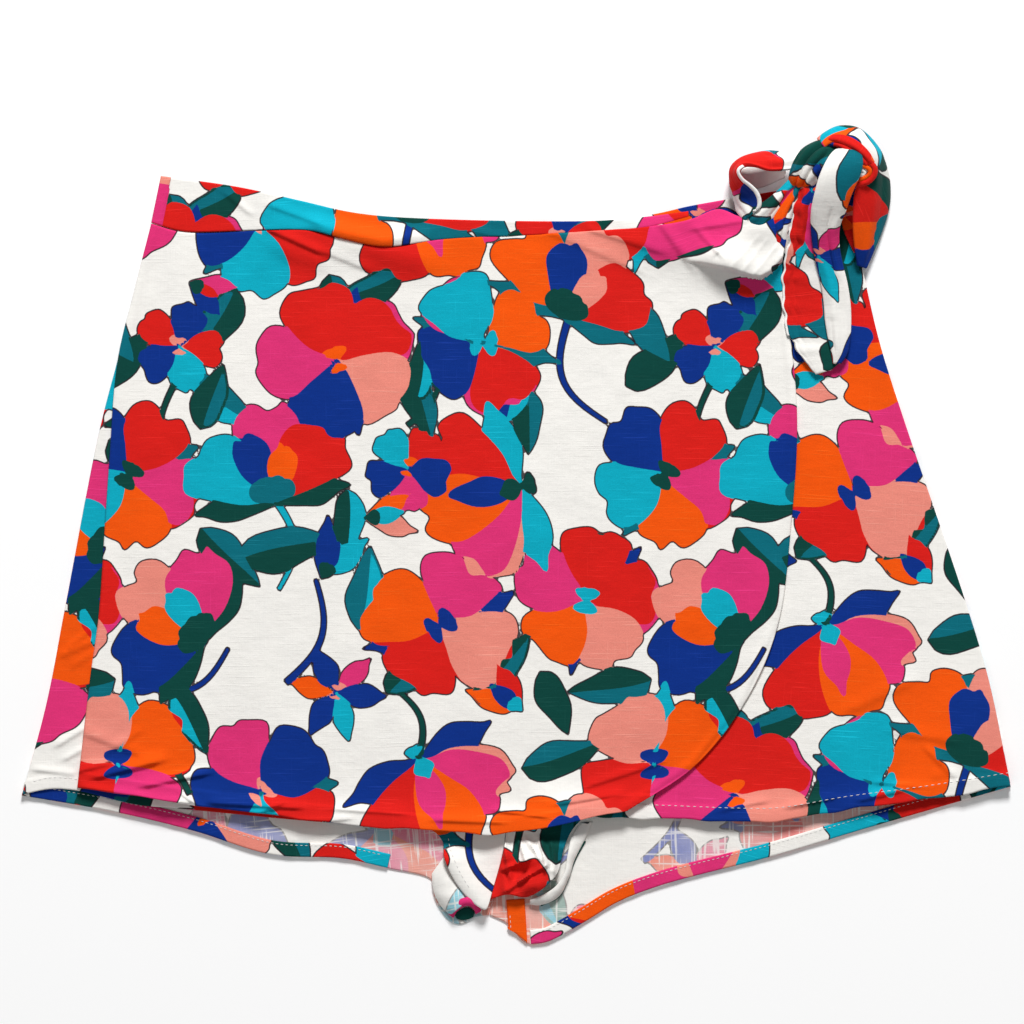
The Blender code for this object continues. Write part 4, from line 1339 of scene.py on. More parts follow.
CLOTH_UV = "cloth"
INK_LAYERS = ("ink_warm", "ink_mixed", "ink_cool")
INK_COLOURS = {
    Ink.RED: (226, 30, 24),
    Ink.ORANGE: (255, 90, 6),
    Ink.PINK: (232, 52, 122),
    Ink.CORAL: (246, 146, 130),
    Ink.BLUE: (6, 50, 140),
    Ink.CYAN: (6, 176, 200),
    Ink.TEAL: (4, 110, 126),
    Ink.GREEN: (5, 70, 62),
}


@dataclass(frozen=True)
class PrintedSlub:
    """Off-white slub cotton with a print in flat inks.

    Attributes:
        name: the finish's name.
        ground: the bare cloth's colour.
        line: the colour of the fine drawn outline.
        faded: how much of the ground shows through the inks all over.
        worn: how much more of it shows in soft patches.
        crossed: how strongly bare cross lines show in the inks.
        lift: how much brighter the inks are, with their hue kept.
        threads: how strongly single threads show in the inks.
        roughness: the cloth's roughness.
    """

    name: str
    ground: tuple[int, int, int] = (247, 244, 238)
    line: tuple[int, int, int] = (30, 12, 24)
    faded: float = 0.0
    worn: float = 0.0
    threads: float = 0.42
    crossed: float = 0.0
    lift: float = 0.0
    roughness: float = 0.88

    def make(self) -> bpy.types.Material:
        """Build the finish on the cloth coordinates and the print's fields."""
        bench = Bench(self.name)
        uv = bench.node("ShaderNodeUVMap", {"uv_map": CLOTH_UV}).outputs[0]
        weft = bench.noise(uv, (60.0, 1900.0, 1.0), 1.0)
        warp = bench.noise(uv, (1900.0, 60.0, 1.0), 1.0)
        thick_weft = bench.noise(uv, (36.0, 1300.0, 1.0), 1.0).above(0.67, 0.07)
        thick_warp = bench.noise(uv, (1300.0, 36.0, 1.0), 1.0).above(0.69, 0.07)
        slubs = thick_weft.up_to(thick_warp * 0.4)
        grain = bench.noise(uv, (1400.0, 1400.0, 1.0), 3.0, 0.6)
        clouds = bench.noise(uv, (34.0, 34.0, 1.0), 3.0)
        edge = (bench.noise(uv, (900.0, 900.0, 1.0), 2.0) - 0.5) * 0.42
        tone = 0.5 * (weft + warp)

        ground = linear(*self.ground)
        dim = (0.80 * ground[0], 0.81 * ground[1], 0.83 * ground[2], 1.0)
        bare = bench.blend(
            (tone - 0.5).above(0.02, 0.24) * 0.20 + clouds.above(0.5, 0.5) * 0.22 + grain.above(0.5, 0.4) * 0.10,
            ground, dim,
        )
        colour = bare
        fields = self._fields(bench)
        closed = edge - fields[Ink.OUTLINE].below(-0.12, 0.25) * 0.5
        for ink, rgb in INK_COLOURS.items():
            inked = linear(*(round(c + self.lift * c * (235.0 / max(rgb) - 1.0)) for c in rgb))
            deep = shaded(inked, 0.66)
            light = tuple(min(1.0, 1.5 * c + 0.012) for c in inked[:3]) + (1.0,)
            mottled = bench.blend(clouds.above(0.5, 0.6) * 0.35 + grain.above(0.5, 0.3) * 0.35, inked, deep)
            mottled = bench.blend(slubs * self.threads, mottled, light)
            colour = bench.blend((fields[ink] + closed).below(0.36, 0.26), colour, mottled)
        drawn = abs(fields[Ink.OUTLINE] + edge * 0.6 - 0.4).below(0.40, 0.22) * 0.94
        colour = bench.blend(drawn, colour, linear(*self.line))
        rubbed = clouds.above(0.52, 0.5) * self.worn
        crossed = bench.noise(uv, (34.0, 620.0, 1.0), 1.0).up_to(bench.noise(uv, (620.0, 34.0, 1.0), 1.0))
        show = crossed.above(0.61, 0.08) * self.crossed
        colour = bench.blend(show + rubbed + self.faded, colour, bare)

        crumple = bench.noise(uv, (110.0, 150.0, 1.0), 3.0, 0.55)
        relief = tone * 0.45 + slubs * 0.3 + grain * 0.3 + crumple * 2.3
        bump = bench.node("ShaderNodeBump", Strength=0.6, Distance=0.0003, Height=relief)
        rough = 0.12 * tone + (self.roughness - 0.06)
        return bench.surface(
            Base_Color=colour, Normal=bump.outputs[0], Roughness=rough, Metallic=0.0, Specular_IOR_Level=0.12,
            Sheen_Weight=0.03, Sheen_Roughness=0.5,
        )

    @staticmethod
    def _fields(bench: Bench) -> dict[Ink, Tone]:
        """The print's fields, in mm, by ink."""
        found: dict[Ink, Tone] = {}
        for number, name in enumerate(INK_LAYERS):
            layer = bench.node("ShaderNodeAttribute", {"attribute_type": "GEOMETRY", "attribute_name": name})
            parts = bench.node("ShaderNodeSeparateXYZ", None, Vector=layer.outputs["Vector"])
            for axis in range(3):
                found[Ink(3 * number + axis)] = bench.tone(parts.outputs[axis])
        return found


@dataclass(frozen=True)
class Thread:
    """White sewing thread with a fine twist."""

    name: str
    colour: tuple[int, int, int] = (236, 234, 232)

    def make(self) -> bpy.types.Material:
        """Build the finish on object coordinates."""
        bench = Bench(self.name)
        place = bench.node("ShaderNodeTexCoord").outputs["Object"]
        twist = bench.noise(place, (2600.0, 2600.0, 2600.0), 1.0)
        lit = linear(*self.colour)
        dim = shaded(lit, 0.72)
        colour = bench.blend(twist.above(0.5, 0.3), dim, lit)
        bump = bench.node("ShaderNodeBump", Strength=0.4, Distance=0.0001, Height=twist)
        return bench.surface(Base_Color=colour, Normal=bump.outputs[0], Roughness=0.6)


@dataclass(frozen=True)
class PaleFloor:
    """A plain pale studio floor."""

    name: str
    shade: int = 250
    glow: float = 0.07

    def make(self) -> bpy.types.Material:
        """Build the finish on object coordinates."""
        bench = Bench(self.name)
        place = bench.node("ShaderNodeTexCoord").outputs["Object"]
        cloud = bench.noise(place, (3.0, 3.0, 3.0), 1.0)
        lit = linear(self.shade, self.shade, self.shade)
        dim = shaded(lit, 0.985)
        return bench.surface(
            Base_Color=bench.blend(cloud, lit, dim), Emission_Color=(1.0, 1.0, 1.0, 1.0),
            Emission_Strength=self.glow, Roughness=0.9, Specular_IOR_Level=0.0,
        )


# ---- the garment ----

WRAP_SWAY = Sway(WRAP_HEM, depth=1.0, length=15.0, seed=66)
UNDER_SWAY = Sway(UNDER_HEM, depth=0.8, length=12.0, seed=67)


@dataclass(frozen=True)
class Lie:
    """How high each layer of the pile lies.

    Attributes:
        lift_x, lift_y, lift_run: where the front layers begin to ride over the turned hem, and how softly.
        ease_run: how softly the wrap comes down off the under panel.
        corner, reach, rise: the wrap's corner that climbs into the knot.
        hem_lift: how far the free hems stand off the cloth below them.
    """

    lift_x: float = 140.0
    lift_y: float = -50.0
    lift_run: float = 75.0
    ease_run: float = 90.0
    corner: Point = Point(150, 184)
    reach: float = 62.0
    rise: float = 6.0
    hem_lift: float = 2.5

    def over_hem(self, x: Array, y: Array) -> Array:
        """How far the front layers rise over the turned hem at the lower corners."""
        out = smoothstep((np.abs(x) - self.lift_x) / self.lift_run)
        return LAYER * out * smoothstep((self.lift_y - y) / self.lift_run)

    def front(self, folds: Sequence[Fold]) -> Height:
        """The lie of a front leg of the shorts."""

        def height(x: Array, y: Array) -> Array:
            """Flat, with its folds below the wrap's hem."""
            below = smoothstep((FOLDS_Y - y) / 12.0)
            return Z_FRONT + self.over_hem(x, y) + below * ridges(x, y, folds)

        return height

    def off_hem(self, x: Array, y: Array, hem: Edge, seed: int) -> Array:
        """How far a free hem stands off unevenly, with none of it at the sides."""
        inward = np.maximum(up_from(hem, x, y), 0.0)
        uneven = 0.45 + 0.9 * Rumple(seed, 19, 1).along(x)
        inner = smoothstep((250.0 - np.abs(x)) / 50.0)
        return self.hem_lift * uneven * inner * np.exp(-((inward / 12.0) ** 2))

    def under(self, x: Array, y: Array) -> Array:
        """The lie of the under panel, a layer above the shorts."""
        return Z_UNDER + self.over_hem(x, y) + self.off_hem(x, y, UNDER_HEM, 64)

    def wrap(self, x: Array, y: Array) -> Array:
        """The lie of the wrap: down onto the shorts at the left, up into the knot at its corner."""
        off_under = smoothstep((UNDER_EDGE_X - 6.0 - x) / self.ease_run)
        near = smoothstep(1.0 - np.hypot(x - self.corner.x, y - self.corner.y) / self.reach)
        folds = ridges(x, y, WRAP_FOLDS)
        lifted = self.off_hem(x, y, WRAP_HEM, 65) + smoothstep(x / 20.0) * self.off_hem(x, y, UNDER_HEM, 64)
        return Z_WRAP - LAYER * off_under + self.over_hem(x, y) + self.rise * near + folds + lifted

    @staticmethod
    def flat(z: float) -> Height:
        """A height that is the same all over."""
        return lambda x, y: np.full_like(x, z)


@dataclass(frozen=True)
class HemPucker:
    """The turned hem of a panel: a second layer inside its edge, drawn up by the stitches.

    Attributes:
        edge: the hem's line, from left to right.
        turn: how far the hem is turned up, mm.
        rise: how much the second layer stands up, mm.
        pucker: the height of the waves along the hem, mm.
        seed: picks the waves.
    """

    edge: Edge
    turn: float
    rise: float
    pucker: float
    seed: int

    def at(self, x: Array, y: Array) -> Array:
        """The rise at each point."""
        inward = up_from(self.edge, x, y, 200)
        waves = Rumple(self.seed, PUCKERS[0], 1).along(x) + 0.5 * Rumple(self.seed + 1, PUCKERS[1], 1).along(x)
        band = smoothstep((self.turn + 1.2 - inward) / 2.0)
        drawn = np.exp(-(((inward - self.turn) / 2.4) ** 2))
        layer = band * (self.rise + self.pucker * 0.6 * waves)
        return layer - STITCH_DIP * drawn + 0.35 * self.pucker * drawn * waves


@dataclass
class Shorts:
    """The shorts under the wrap: a back and a front to each leg, and their turned hems.

    Attributes:
        cloth: makes the pieces.
        lie: how high the layers lie.
        hem_turn, inseam_turn: the width of the turned hems and of the turn at the inner leg, mm.
    """

    cloth: Cloth
    lie: Lie
    hem_turn: float = 8.0
    inseam_turn: float = 10.4

    def build(self) -> list[bpy.types.Object]:
        """Make the shorts from the back up."""
        return [*self._backs(), *self._fronts(), *self._hems()]

    def _backs(self) -> list[bpy.types.Object]:
        """The two back legs, wrong side up, and the back of the waistband."""
        half = GAP / 2
        waist_left = stretch(BACK_WAIST, BACK_WAIST[0].x, CENTRE_SEAM[0].x - half)
        waist_right = stretch(BACK_WAIST, CENTRE_SEAM[0].x + half, BACK_WAIST[-1].x)
        side_left = [waist_left[0], *SIDE_LEFT[1:]]
        side_right = [waist_right[-1], *SIDE_RIGHT[1:-1], BACK_HEM_RIGHT[-1]]
        seam_left = seam_down(CENTRE_SEAM, waist_left[-1].y, BACK_HEM_LEFT[-1].y, -half)
        seam_right = seam_down(CENTRE_SEAM, waist_right[0].y, BACK_HEM_RIGHT[0].y, half)
        slack = Rumple(21, 16, 0.35)

        def relief(x: Array, y: Array) -> Array:
            """Small waves below the wrap's hem."""
            return smoothstep((BACK_SLACK_Y - y) / 12.0) * slack.at(x, y)

        across = stops(290, 1.7)
        down = stops(360, 9, spans=[(286, 360, 1.5)])
        pieces = []
        for name, waist, hem, left, right, place in (
            ("shorts_back_left", waist_left, BACK_HEM_LEFT, side_left, seam_left, Place(40, 30, 6)),
            ("shorts_back_right", waist_right, BACK_HEM_RIGHT, seam_right, side_right, Place(100, 100, 0)),
        ):
            piece = Cut(
                name, waist, hem, left, right, Lie.flat(Z_BACK), across, down, place,
                face=Face.WRONG, relief=relief, under_gap=1.9,
            )
            pieces.append(self.cloth.cut(piece, "print_inside"))
        band = Cut(
            "waistband_back", BACK_BAND_TOP, raised(BACK_WAIST, 2 * GAP),
            [BACK_BAND_TOP[0], Point(-202.8, 175.7)], [BACK_BAND_TOP[-1], Point(187.4, 182.3)],
            Lie.flat(Z_BACK), stops(400, 1.4), stops(24, 1.2), Place(90, 60, 3), face=Face.BOTH, under_gap=1.6,
        )
        pieces.append(self.cloth.cut(band))
        return pieces

    def _fronts(self) -> list[bpy.types.Object]:
        """The two front legs, which crumple below the wrap."""
        half = GAP / 2
        waist_left = [Point(-203, 172), Point(-110, 165), Point(-8 - half, 163)]
        waist_right = [Point(-8 + half, 163), Point(75, 165), Point(188.5, 180)]
        side_left = [waist_left[0], *SIDE_LEFT[1:-1], FRONT_HEM_LEFT[0]]
        side_right = [waist_right[-1], *SIDE_RIGHT[1:-1], FRONT_HEM_RIGHT[-1]]
        seam_left = seam_down(CENTRE_SEAM, waist_left[-1].y, FRONT_HEM_LEFT[-1].y, -half)
        seam_right = seam_down(CENTRE_SEAM, waist_right[0].y, FRONT_HEM_RIGHT[0].y, half)
        strip = HemPucker(FRONT_HEM_LEFT[:5], turn=7.5, rise=0.3, pucker=0.4, seed=31)
        creased = Rumple(33, 9, 0.5)
        wide = Rumple(34, 26, 0.35)
        crumpled = Rumple(35, 10, 1, 1.3)

        def left_relief(x: Array, y: Array) -> Array:
            """A stitched hem on the strip that shows at the side, and creases below the wrap."""
            side = smoothstep((-214.0 - x) / 10.0)
            below = smoothstep((CRUMPLES_LEFT_Y - y) / 8.0)
            wrinkled = ridges(x, y, SIDE_CREASES, 0.45)
            return side * (strip.at(x, y) + wide.at(x, y) + wrinkled) + below * creased.at(x, y)

        def right_relief(x: Array, y: Array) -> Array:
            """Crumples and sharp creases below the wrap."""
            drawn = ridges(x, y, FRONT_RIGHT_CREASES, 0.5)
            sharp = 3.2 * (1.0 - np.abs(2.0 * crumpled.at(x, y) - 1.0)) ** 1.6
            return smoothstep((CRUMPLES_RIGHT_Y - y) / 8.0) * (creased.at(x, y) + sharp + drawn)

        left = Cut(
            "shorts_front_left", waist_left, FRONT_HEM_LEFT, side_left, seam_left, self.lie.front(FRONT_LEFT_FOLDS),
            stops(300, 7, [(0, 50, 1.4), (226, 300, 1)]), stops(340, 2, [(284, 340, 1)]),
            Place(51, 270, 0), relief=left_relief, under_gap=3.2, wall=0.9, rests_on=("shorts_back_left_cloth",),
        )
        right = Cut(
            "shorts_front_right", waist_right, FRONT_HEM_RIGHT, seam_right, side_right,
            self.lie.front(FRONT_RIGHT_FOLDS), stops(330, 8, [(0, 84, 1)]), stops(366, 8, [(300, 366, 1)]),
            Place(139.6, 244, 12), relief=right_relief, under_gap=3.0, wall=0.9,
            rests_on=("shorts_back_right_cloth",),
        )
        roll = Strap(
            "inseam_roll_left", ROLL_LEFT, Place(20, 40, 30), (15, 31), face=Face.WRONG, wall=0.9, gap=0.7,
            rumple=Rumple(41, 6, 0.9), rests_on=("shorts_back_left_cloth",),
        )
        cuff = Strap(
            "inseam_cuff_left", CUFF_LEFT, Place(168, 112, 0), (6, 24), face=Face.RIGHT, wall=1.1, gap=0.5,
            rumple=Rumple(43, 4, 0.5), node="inseam_roll_left", edge_of="inseam_roll_left_cloth",
        )
        # painted shade: the mouth strap is cut from the dark green of the print to stand for the shadow inside the
        # tube
        mouth_shade = Strap(
            "inseam_mouth_left_painted_shade", MOUTH_SHADE_LEFT, Place(66, 100, 0), (6, 12), face=Face.RIGHT, wall=0.8, gap=0.5,
            node="inseam_roll_left", edge_of="inseam_roll_left_cloth",
        )
        curl = Strap(
            "hem_front_right", CURL_RIGHT, Place(152, 292, 0), (8, 60), face=Face.RIGHT, wall=0.9, gap=0.6,
            rumple=Rumple(42, 6, 0.8), rests_on=("shorts_back_right_cloth",),
        )
        # painted shade: a thin rim along the curl's outer edge, cut from the dark green of the print, stands for the
        # shadow at that edge
        turned_over = [Rib(*rib[3:6], *rib[0:3], 0.0) for rib in CURL_RIGHT[1:-1]]
        curl_edge_shade = Strap(
            "hem_front_edge_painted_shade", rim_of(turned_over, 0.3, 0.9, 0.3, 0.3), Place(66, 100, 0), (1.2, 11),
            wall=0.8, gap=0.5, node="hem_front_right", edge_of="hem_front_right_cloth",
        )
        made = self.cloth.cut(left)
        side = raised([Point(-270, -143.8), *FRONT_HEM_LEFT[1:3], Point(-236, -144.6)], 6.4)
        sewn = StitchLine("side_strip_stitches", side, left.top_at, pitch=2.8, dash=2.0, thick=0.42, seed=55)
        self.cloth.stitch(made, sewn)
        inner = [Point(-37.5, -168.4), Point(-36.2, -175.2), Point(-30.3, -189), Point(-25.4, -197)]
        sewn = StitchLine("inner_leg_stitches", inner, left.top_at, pitch=3.0, dash=2.1, thick=0.42, seed=56)
        self.cloth.stitch(made, sewn)
        return [
            made,
            self.cloth.cut(right),
            self.cloth.strap(roll, "print_inside"),
            *(self.cloth.strap(strap) for strap in (cuff, mouth_shade, curl, curl_edge_shade)),
        ]

    def _hems(self) -> list[bpy.types.Object]:
        """The turned-up hems of the back legs, right side up."""
        left, right = "shorts_back_left_cloth", "shorts_back_right_cloth"
        right_edge = [Point(9, -228.6), *BACK_HEM_RIGHT[3:]]
        inseam = [Point(7, -227.8), Point(6.2, -214), Point(5.4, -203)]
        inseam_corner = Point(-4.4, -218.6)
        pieces = []
        for name, edge, place, seed, below, turn, corner in (
            ("hem_back_left", BACK_HEM_LEFT[:6], Place(100, 220, 10), 51, left, self.hem_turn, None),
            ("hem_back_right", right_edge, Place(140, 140, -14), 52, right, self.hem_turn, None),
            ("hem_inseam_right", inseam, Place(97, 101, 0), 53, right, self.inseam_turn, inseam_corner),
        ):
            long = length_of(edge)
            line = through(edge, np.linspace(0.0, 1.0, max(4, int(long / 5.0))))
            inward = normals(line)
            outer = [Point(*p) for p in line + inward * 0.1]
            inner = [Point(*p) for p in line + inward * turn]
            inner[0] = corner or inner[0]
            pucker = Rumple(seed, 6, 0.4, 3)
            piece = Cut(
                name, inner, outer, [inner[0], outer[0]], [inner[-1], outer[-1]], Lie.flat(Z_FRONT),
                stops(long, 1), stops(turn, 0.8), place, relief=pucker.at, under_gap=2.2, wall=0.9, rests_on=(below,),
            )
            made = self.cloth.cut(piece)
            path = [Point(*p) for p in (line + inward * (turn - 1.5))[1:-1]]
            sewn = StitchLine(name + "_stitches", path, piece.top_at, pitch=2.7, dash=1.9, thick=0.4, seed=seed)
            self.cloth.stitch(made, sewn)
            pieces.append(made)
        return pieces


@dataclass
class WrapFront:
    """The two wrap panels over the shorts and the waistband that takes them.

    Attributes:
        cloth: makes the pieces.
        lie: how high the layers lie.
        gap: the gap of the wrap panel's grid, mm.
        join_x, join_y, join_lean: a point on the band's seam near its left end, and how the seam leans.
        join_slip: how far beyond that seam the print jumps, mm.
        tuck: how much of the print the fold at the bulge's lip hides, mm.
        bulge, lip, fall: the bulge's height, how steep its lip is and how softly it ends, mm.
    """

    cloth: Cloth
    lie: Lie
    gap: float = 1.38
    join_x: float = -194.7
    join_y: float = 188.4
    join_lean: float = 0.197
    join_slip: tuple[float, float] = (88, 52)
    tuck: tuple[float, float] = (-26.0, -8.0)
    bulge: float = 7.4
    lip: float = 1.1
    fall: float = 15.0

    def build(self) -> list[bpy.types.Object]:
        """Make the under panel, the wrap panel and the waistband."""
        return [self._under(), self._wrap(), self._band()]

    def _under(self) -> bpy.types.Object:
        """The panel that lies below, from the right side seam in under the wrap."""
        top = [UNDER_SIDE[0], Point(75, 169), Point(187.8, 181)]
        right = [top[-1], *SIDE_RIGHT[1:-1], UNDER_HEM[-1]]
        hem = HemPucker(UNDER_HEM, turn=8.0, rise=0.35, pucker=0.8, seed=61)
        wide = Rumple(62, 34, 0.8, 1.6)
        gathers = Rumple(63, 2.7, 0.7, 6)

        def relief(x: Array, y: Array) -> Array:
            """The hem and the waves of the part that shows."""
            drawn = smoothstep((x - 206.0) / 20.0) * smoothstep((-128.0 - y) / 6.0) * gathers.at(x, y)
            creases = ridges(x, y, UNDER_CREASES, 0.4)
            return hem.at(x, y) + smoothstep((x - 140.0) / 12.0) * wide.at(x, y) + drawn + creases

        piece = Cut(
            "under_panel", top, UNDER_HEM, UNDER_SIDE, right, self.lie.under,
            stops(262, 1.4), stops(340, 1.5, [(312, 340, 0.9)]), Place(70, 236, -3),
            relief=relief, rests_on=("shorts_front_right_cloth", "shorts_back_right_cloth"), sway=UNDER_SWAY,
        )
        made = self.cloth.cut(piece)
        self.cloth.stitch(made, StitchLine("under_panel_stitches", raised(UNDER_HEM[1:], 7.6), piece.top_at))
        return made

    def wrap_relief(self, x: Array, y: Array) -> Array:
        """What stands up from the lie of the wrap panel."""
        hem = HemPucker(WRAP_HEM, turn=9.0, rise=0.45, pucker=0.8, seed=71).at(x, y)
        creases = ridges(x, y, WRAP_CREASES, 0.34)
        above = np.maximum(line_distance(x, y, BULGE_LINE), 0.0)
        full = smoothstep((x - 90.0) / 30.0) * smoothstep((160.0 - x) / 10.0)
        steep = 1.0 - np.exp(-((above / self.lip) ** 2))
        bulge = self.bulge * full * steep * np.exp(-((above / self.fall) ** 2))
        folded = sum(
            0.8 * np.exp(-(((np.abs(line_distance(x, y, edge)) - 2.4) / 2.6) ** 2))
            for edge in (WRAP_SIDE, WRAP_EDGE[2:])
        )
        return hem + creases + bulge + folded + Rumple(72, 38, 1, 1.5).at(x, y) + Rumple(73, 12, 0.36).at(x, y)

    def _tucked(self, uv: Array) -> Array:
        """The cloth coordinates where the fold above the bulge's lip hides cloth."""
        x, y = uv[..., 0], uv[..., 1]
        above = line_distance(x, y, BULGE_LINE)
        share = (above > 0.0) * smoothstep((x - 84.0) / 26.0) * np.exp(-((above / 42.0) ** 2))
        return uv + share[..., None] * np.array(self.tuck)

    def _wrap(self) -> bpy.types.Object:
        """The panel on top, from the left side seam to its curved free edge."""
        top = raised(WAIST_SEAM[:-1], 0.8) + WRAP_CORNER
        return self.cloth.cut(
            Cut(
                "wrap_panel", top, WRAP_HEM, WRAP_SIDE, WRAP_EDGE, self.lie.wrap,
                stops(385, self.gap, [(332, 385, 0.85)]),
                stops(345, self.gap, [(0, 56, 0.85), (322, 345, 0.75)]),
                Place(0, 0, 0), relief=self.wrap_relief, slip=self._tucked, sway=WRAP_SWAY,
                rests_on=("under_panel_cloth", "shorts_front_left_cloth"),
            )
        )

    def _band(self) -> bpy.types.Object:
        """The front of the waistband, whose seam is plain at the left and fades to the right."""
        soft = Rumple(74, 24, 0.5)
        low = raised(WAIST_SEAM, 4.0)

        def joined(x: Array, y: Array) -> Array:
            """How far points lie to the right of the seam near the left end."""
            return x - (self.join_x + self.join_lean * (y - self.join_y))

        def relief(x: Array, y: Array) -> Array:
            """Stands above the panel it holds, less to the right, and rolls over it where it is dragged."""
            dragged = smoothstep((x + 122.0) / 14.0) * smoothstep((-36.0 - x) / 30.0)
            rolled = 3.3 * dragged * np.exp(-((line_distance(x, y, low) / 4.6) ** 2))
            seam = 0.45 * np.exp(-((joined(x, y) / 0.8) ** 2))
            pleats = ridges(x, y, BAND_PLEATS, 0.5)
            return 0.12 + 0.75 * smoothstep((-136.0 - x) / 40.0) + rolled + pleats - seam + soft.at(x, y)

        def slipped(uv: Array) -> Array:
            """The cloth coordinates, from another part of the cloth beyond the seam."""
            return uv + (joined(uv[..., 0], uv[..., 1]) < 0.0)[..., None] * np.array(self.join_slip)

        return self.cloth.cut(
            Cut(
                "waistband_front", WAIST_TOP_LEFT, WAIST_SEAM, [WAIST_TOP_LEFT[0], WAIST_SEAM[0]],
                [WAIST_TOP_LEFT[-1], WAIST_SEAM[-1]], self.lie.wrap, stops(305, 1.1, [(0, 12, 0.5)]),
                stops(26, 0.9), Place(76, 262, 4), relief=relief, under_gap=3.0, slip=slipped,
                rests_on=("waistband_back_cloth", "wrap_panel_cloth"),
            )
        )


@dataclass
class Bow:
    """The tie: gathered out of the wrap's corner, through the knot, into two loops and a hanging tail.

    Attributes:
        cloth: makes the pieces.
        wall: the thickness of the tie's two layers, mm.
    """

    cloth: Cloth
    wall: float = 2.0

    def build(self) -> list[bpy.types.Object]:
        """Make the tie from the gather to the tail."""
        straps = [*self._gather(), *self._loops(), *self._knot_and_tail(), *self._rims()]
        return [self.cloth.strap(strap) for strap in straps]

    def _tie(
        self, name: str, ribs: Sequence[Rib], place: Place, cut: tuple[float, float],
        creases: Sequence[Sequence[float]] = (), **other: Any,
    ) -> Strap:
        """A stretch of the tie, two layers thick and soft at its seams."""
        options = {"wall": self.wall, "rim": 1.5, "gap": 0.62, **other}
        return Strap(name, ribs, place, cut, creases=table(Crease, *creases), **options)

    def _gather(self) -> list[Strap]:
        """The cloth drawn together out of the wrap's corner, in two full folds."""
        return [
            self._tie(
                "tie_gather_upper", GATHER_UPPER, Place(140, 0, 150), (15, 36), node="tie_gather",
                creases=((0.1, 0.3, 1, 0.45, 0.12, 0.9), (0.3, 0.75, 1, 0.7, 0.10, -0.8)),
                rumple=Rumple(81, 3.6, 0.7, 5),
            ),
            self._tie(
                "tie_gather_lower", GATHER_LOWER, Place(240, 240, 150), (15, 50), node="tie_gather",
                creases=(
                    (0.15, 0.35, 1, 0.5, 0.10, 1), (0.35, 0.72, 1, 0.75, 0.10, 0.8),
                    (0.25, 0.55, 0.9, 0.62, 0.08, -0.8),
                ),
                rumple=Rumple(82, 3.6, 0.6, 5),
            ),
        ]

    def _loops(self) -> list[Strap]:
        """The two loops, the turned lining in the right one and the rolled layers at its end."""
        straps = [
            self._tie(
                "tie_loop_left", LOOP_LEFT, Place(24, 96, 80), (18, 74), beads=(0.8, 0.0),
                creases=(
                    (0.02, 0.35, 0.28, 0.25, 0.12, 1), (0.05, 0.7, 0.3, 0.55, 0.10, -0.7),
                    (0.5, 0.3, 0.95, 0.35, 0.14, -0.8), (0.6, 0.65, 0.98, 0.5, 0.12, 0.8),
                ),
                rumple=Rumple(83, 5, 0.6, 2),
            ),
            self._tie("tie_loop_left_floor", LOOP_LEFT_FLOOR, Place(148, 292, 0), (13, 30), wall=1.2, rim=0.9),
            self._tie(
                "tie_loop_right", LOOP_RIGHT, Place(240, 20, 110), (19, 92), beads=(0.3, 0.0),
                creases=(
                    (0.3, 0.3, 0.95, 0.45, 0.12, 0.9), (0.42, 0.62, 0.9, 0.7, 0.10, -0.8),
                    (0.1, 0.45, 0.3, 0.5, 0.12, -0.6),
                ),
                rumple=Rumple(84, 6, 0.8, 2.2),
            ),
            self._tie(
                "tie_loop_right_floor", LOOP_RIGHT_FLOOR, Place(200, 120, 0), (14, 46), wall=1.2, rim=0.9
            ),
            self._tie(
                "tie_lining", LINING, Place(204, 136, 0), (9, 34), node="tie_loop_right", wall=1.6, gap=0.5,
                creases=(
                    (0, 0.30, 1, 0.28, 0.13, 1.3), (0.05, 0.72, 1, 0.70, 0.12, 1.2),
                    (0, 0.50, 1, 0.48, 0.06, -1),
                ),
            ),
        ]
        places = (Place(48, 310, 0), Place(240, 292, 0), Place(150, 290, 0))
        cuts = ((5, 24), (3.4, 20.0), (3.0, 10.0))
        for number, (ribs, place, cut) in enumerate(zip(COILS, places, cuts)):
            straps.append(
                self._tie(
                    f"tie_roll_{number}", ribs, place, cut,
                    node="tie_loop_right", edge_of="tie_loop_right_cloth", wall=1.1, rim=0.7, gap=0.45,
                )
            )
        return straps

    def _rims(self) -> list[Strap]:
        """The bare edges that roll out at the left loop and down the tail."""
        loop = rim_of(LOOP_LEFT[4:], 0.9, 1.5, 0.9, 1.0)
        tail = rim_of(rippled(TAIL_UNDER, 0.5, 14.0)[16:70], 0.3, 0.7, 0.7, 0.4)
        return [
            self._tie(
                "tie_loop_left_rim", loop, Place(0, 0, 0), (2.4, 34.0), node="tie_loop_left",
                edge_of="tie_loop_left_cloth", face=Face.PLAIN, wall=1.3, rim=0.9, gap=0.5,
            ),
            self._tie(
                "tie_tail_rim", tail, Place(0, 0, 0), (1.2, 80.0), node="tie_tail_under",
                edge_of="tie_tail_under_cloth", face=Face.PLAIN, wall=0.9, rim=0.6, gap=0.5,
            ),
        ]

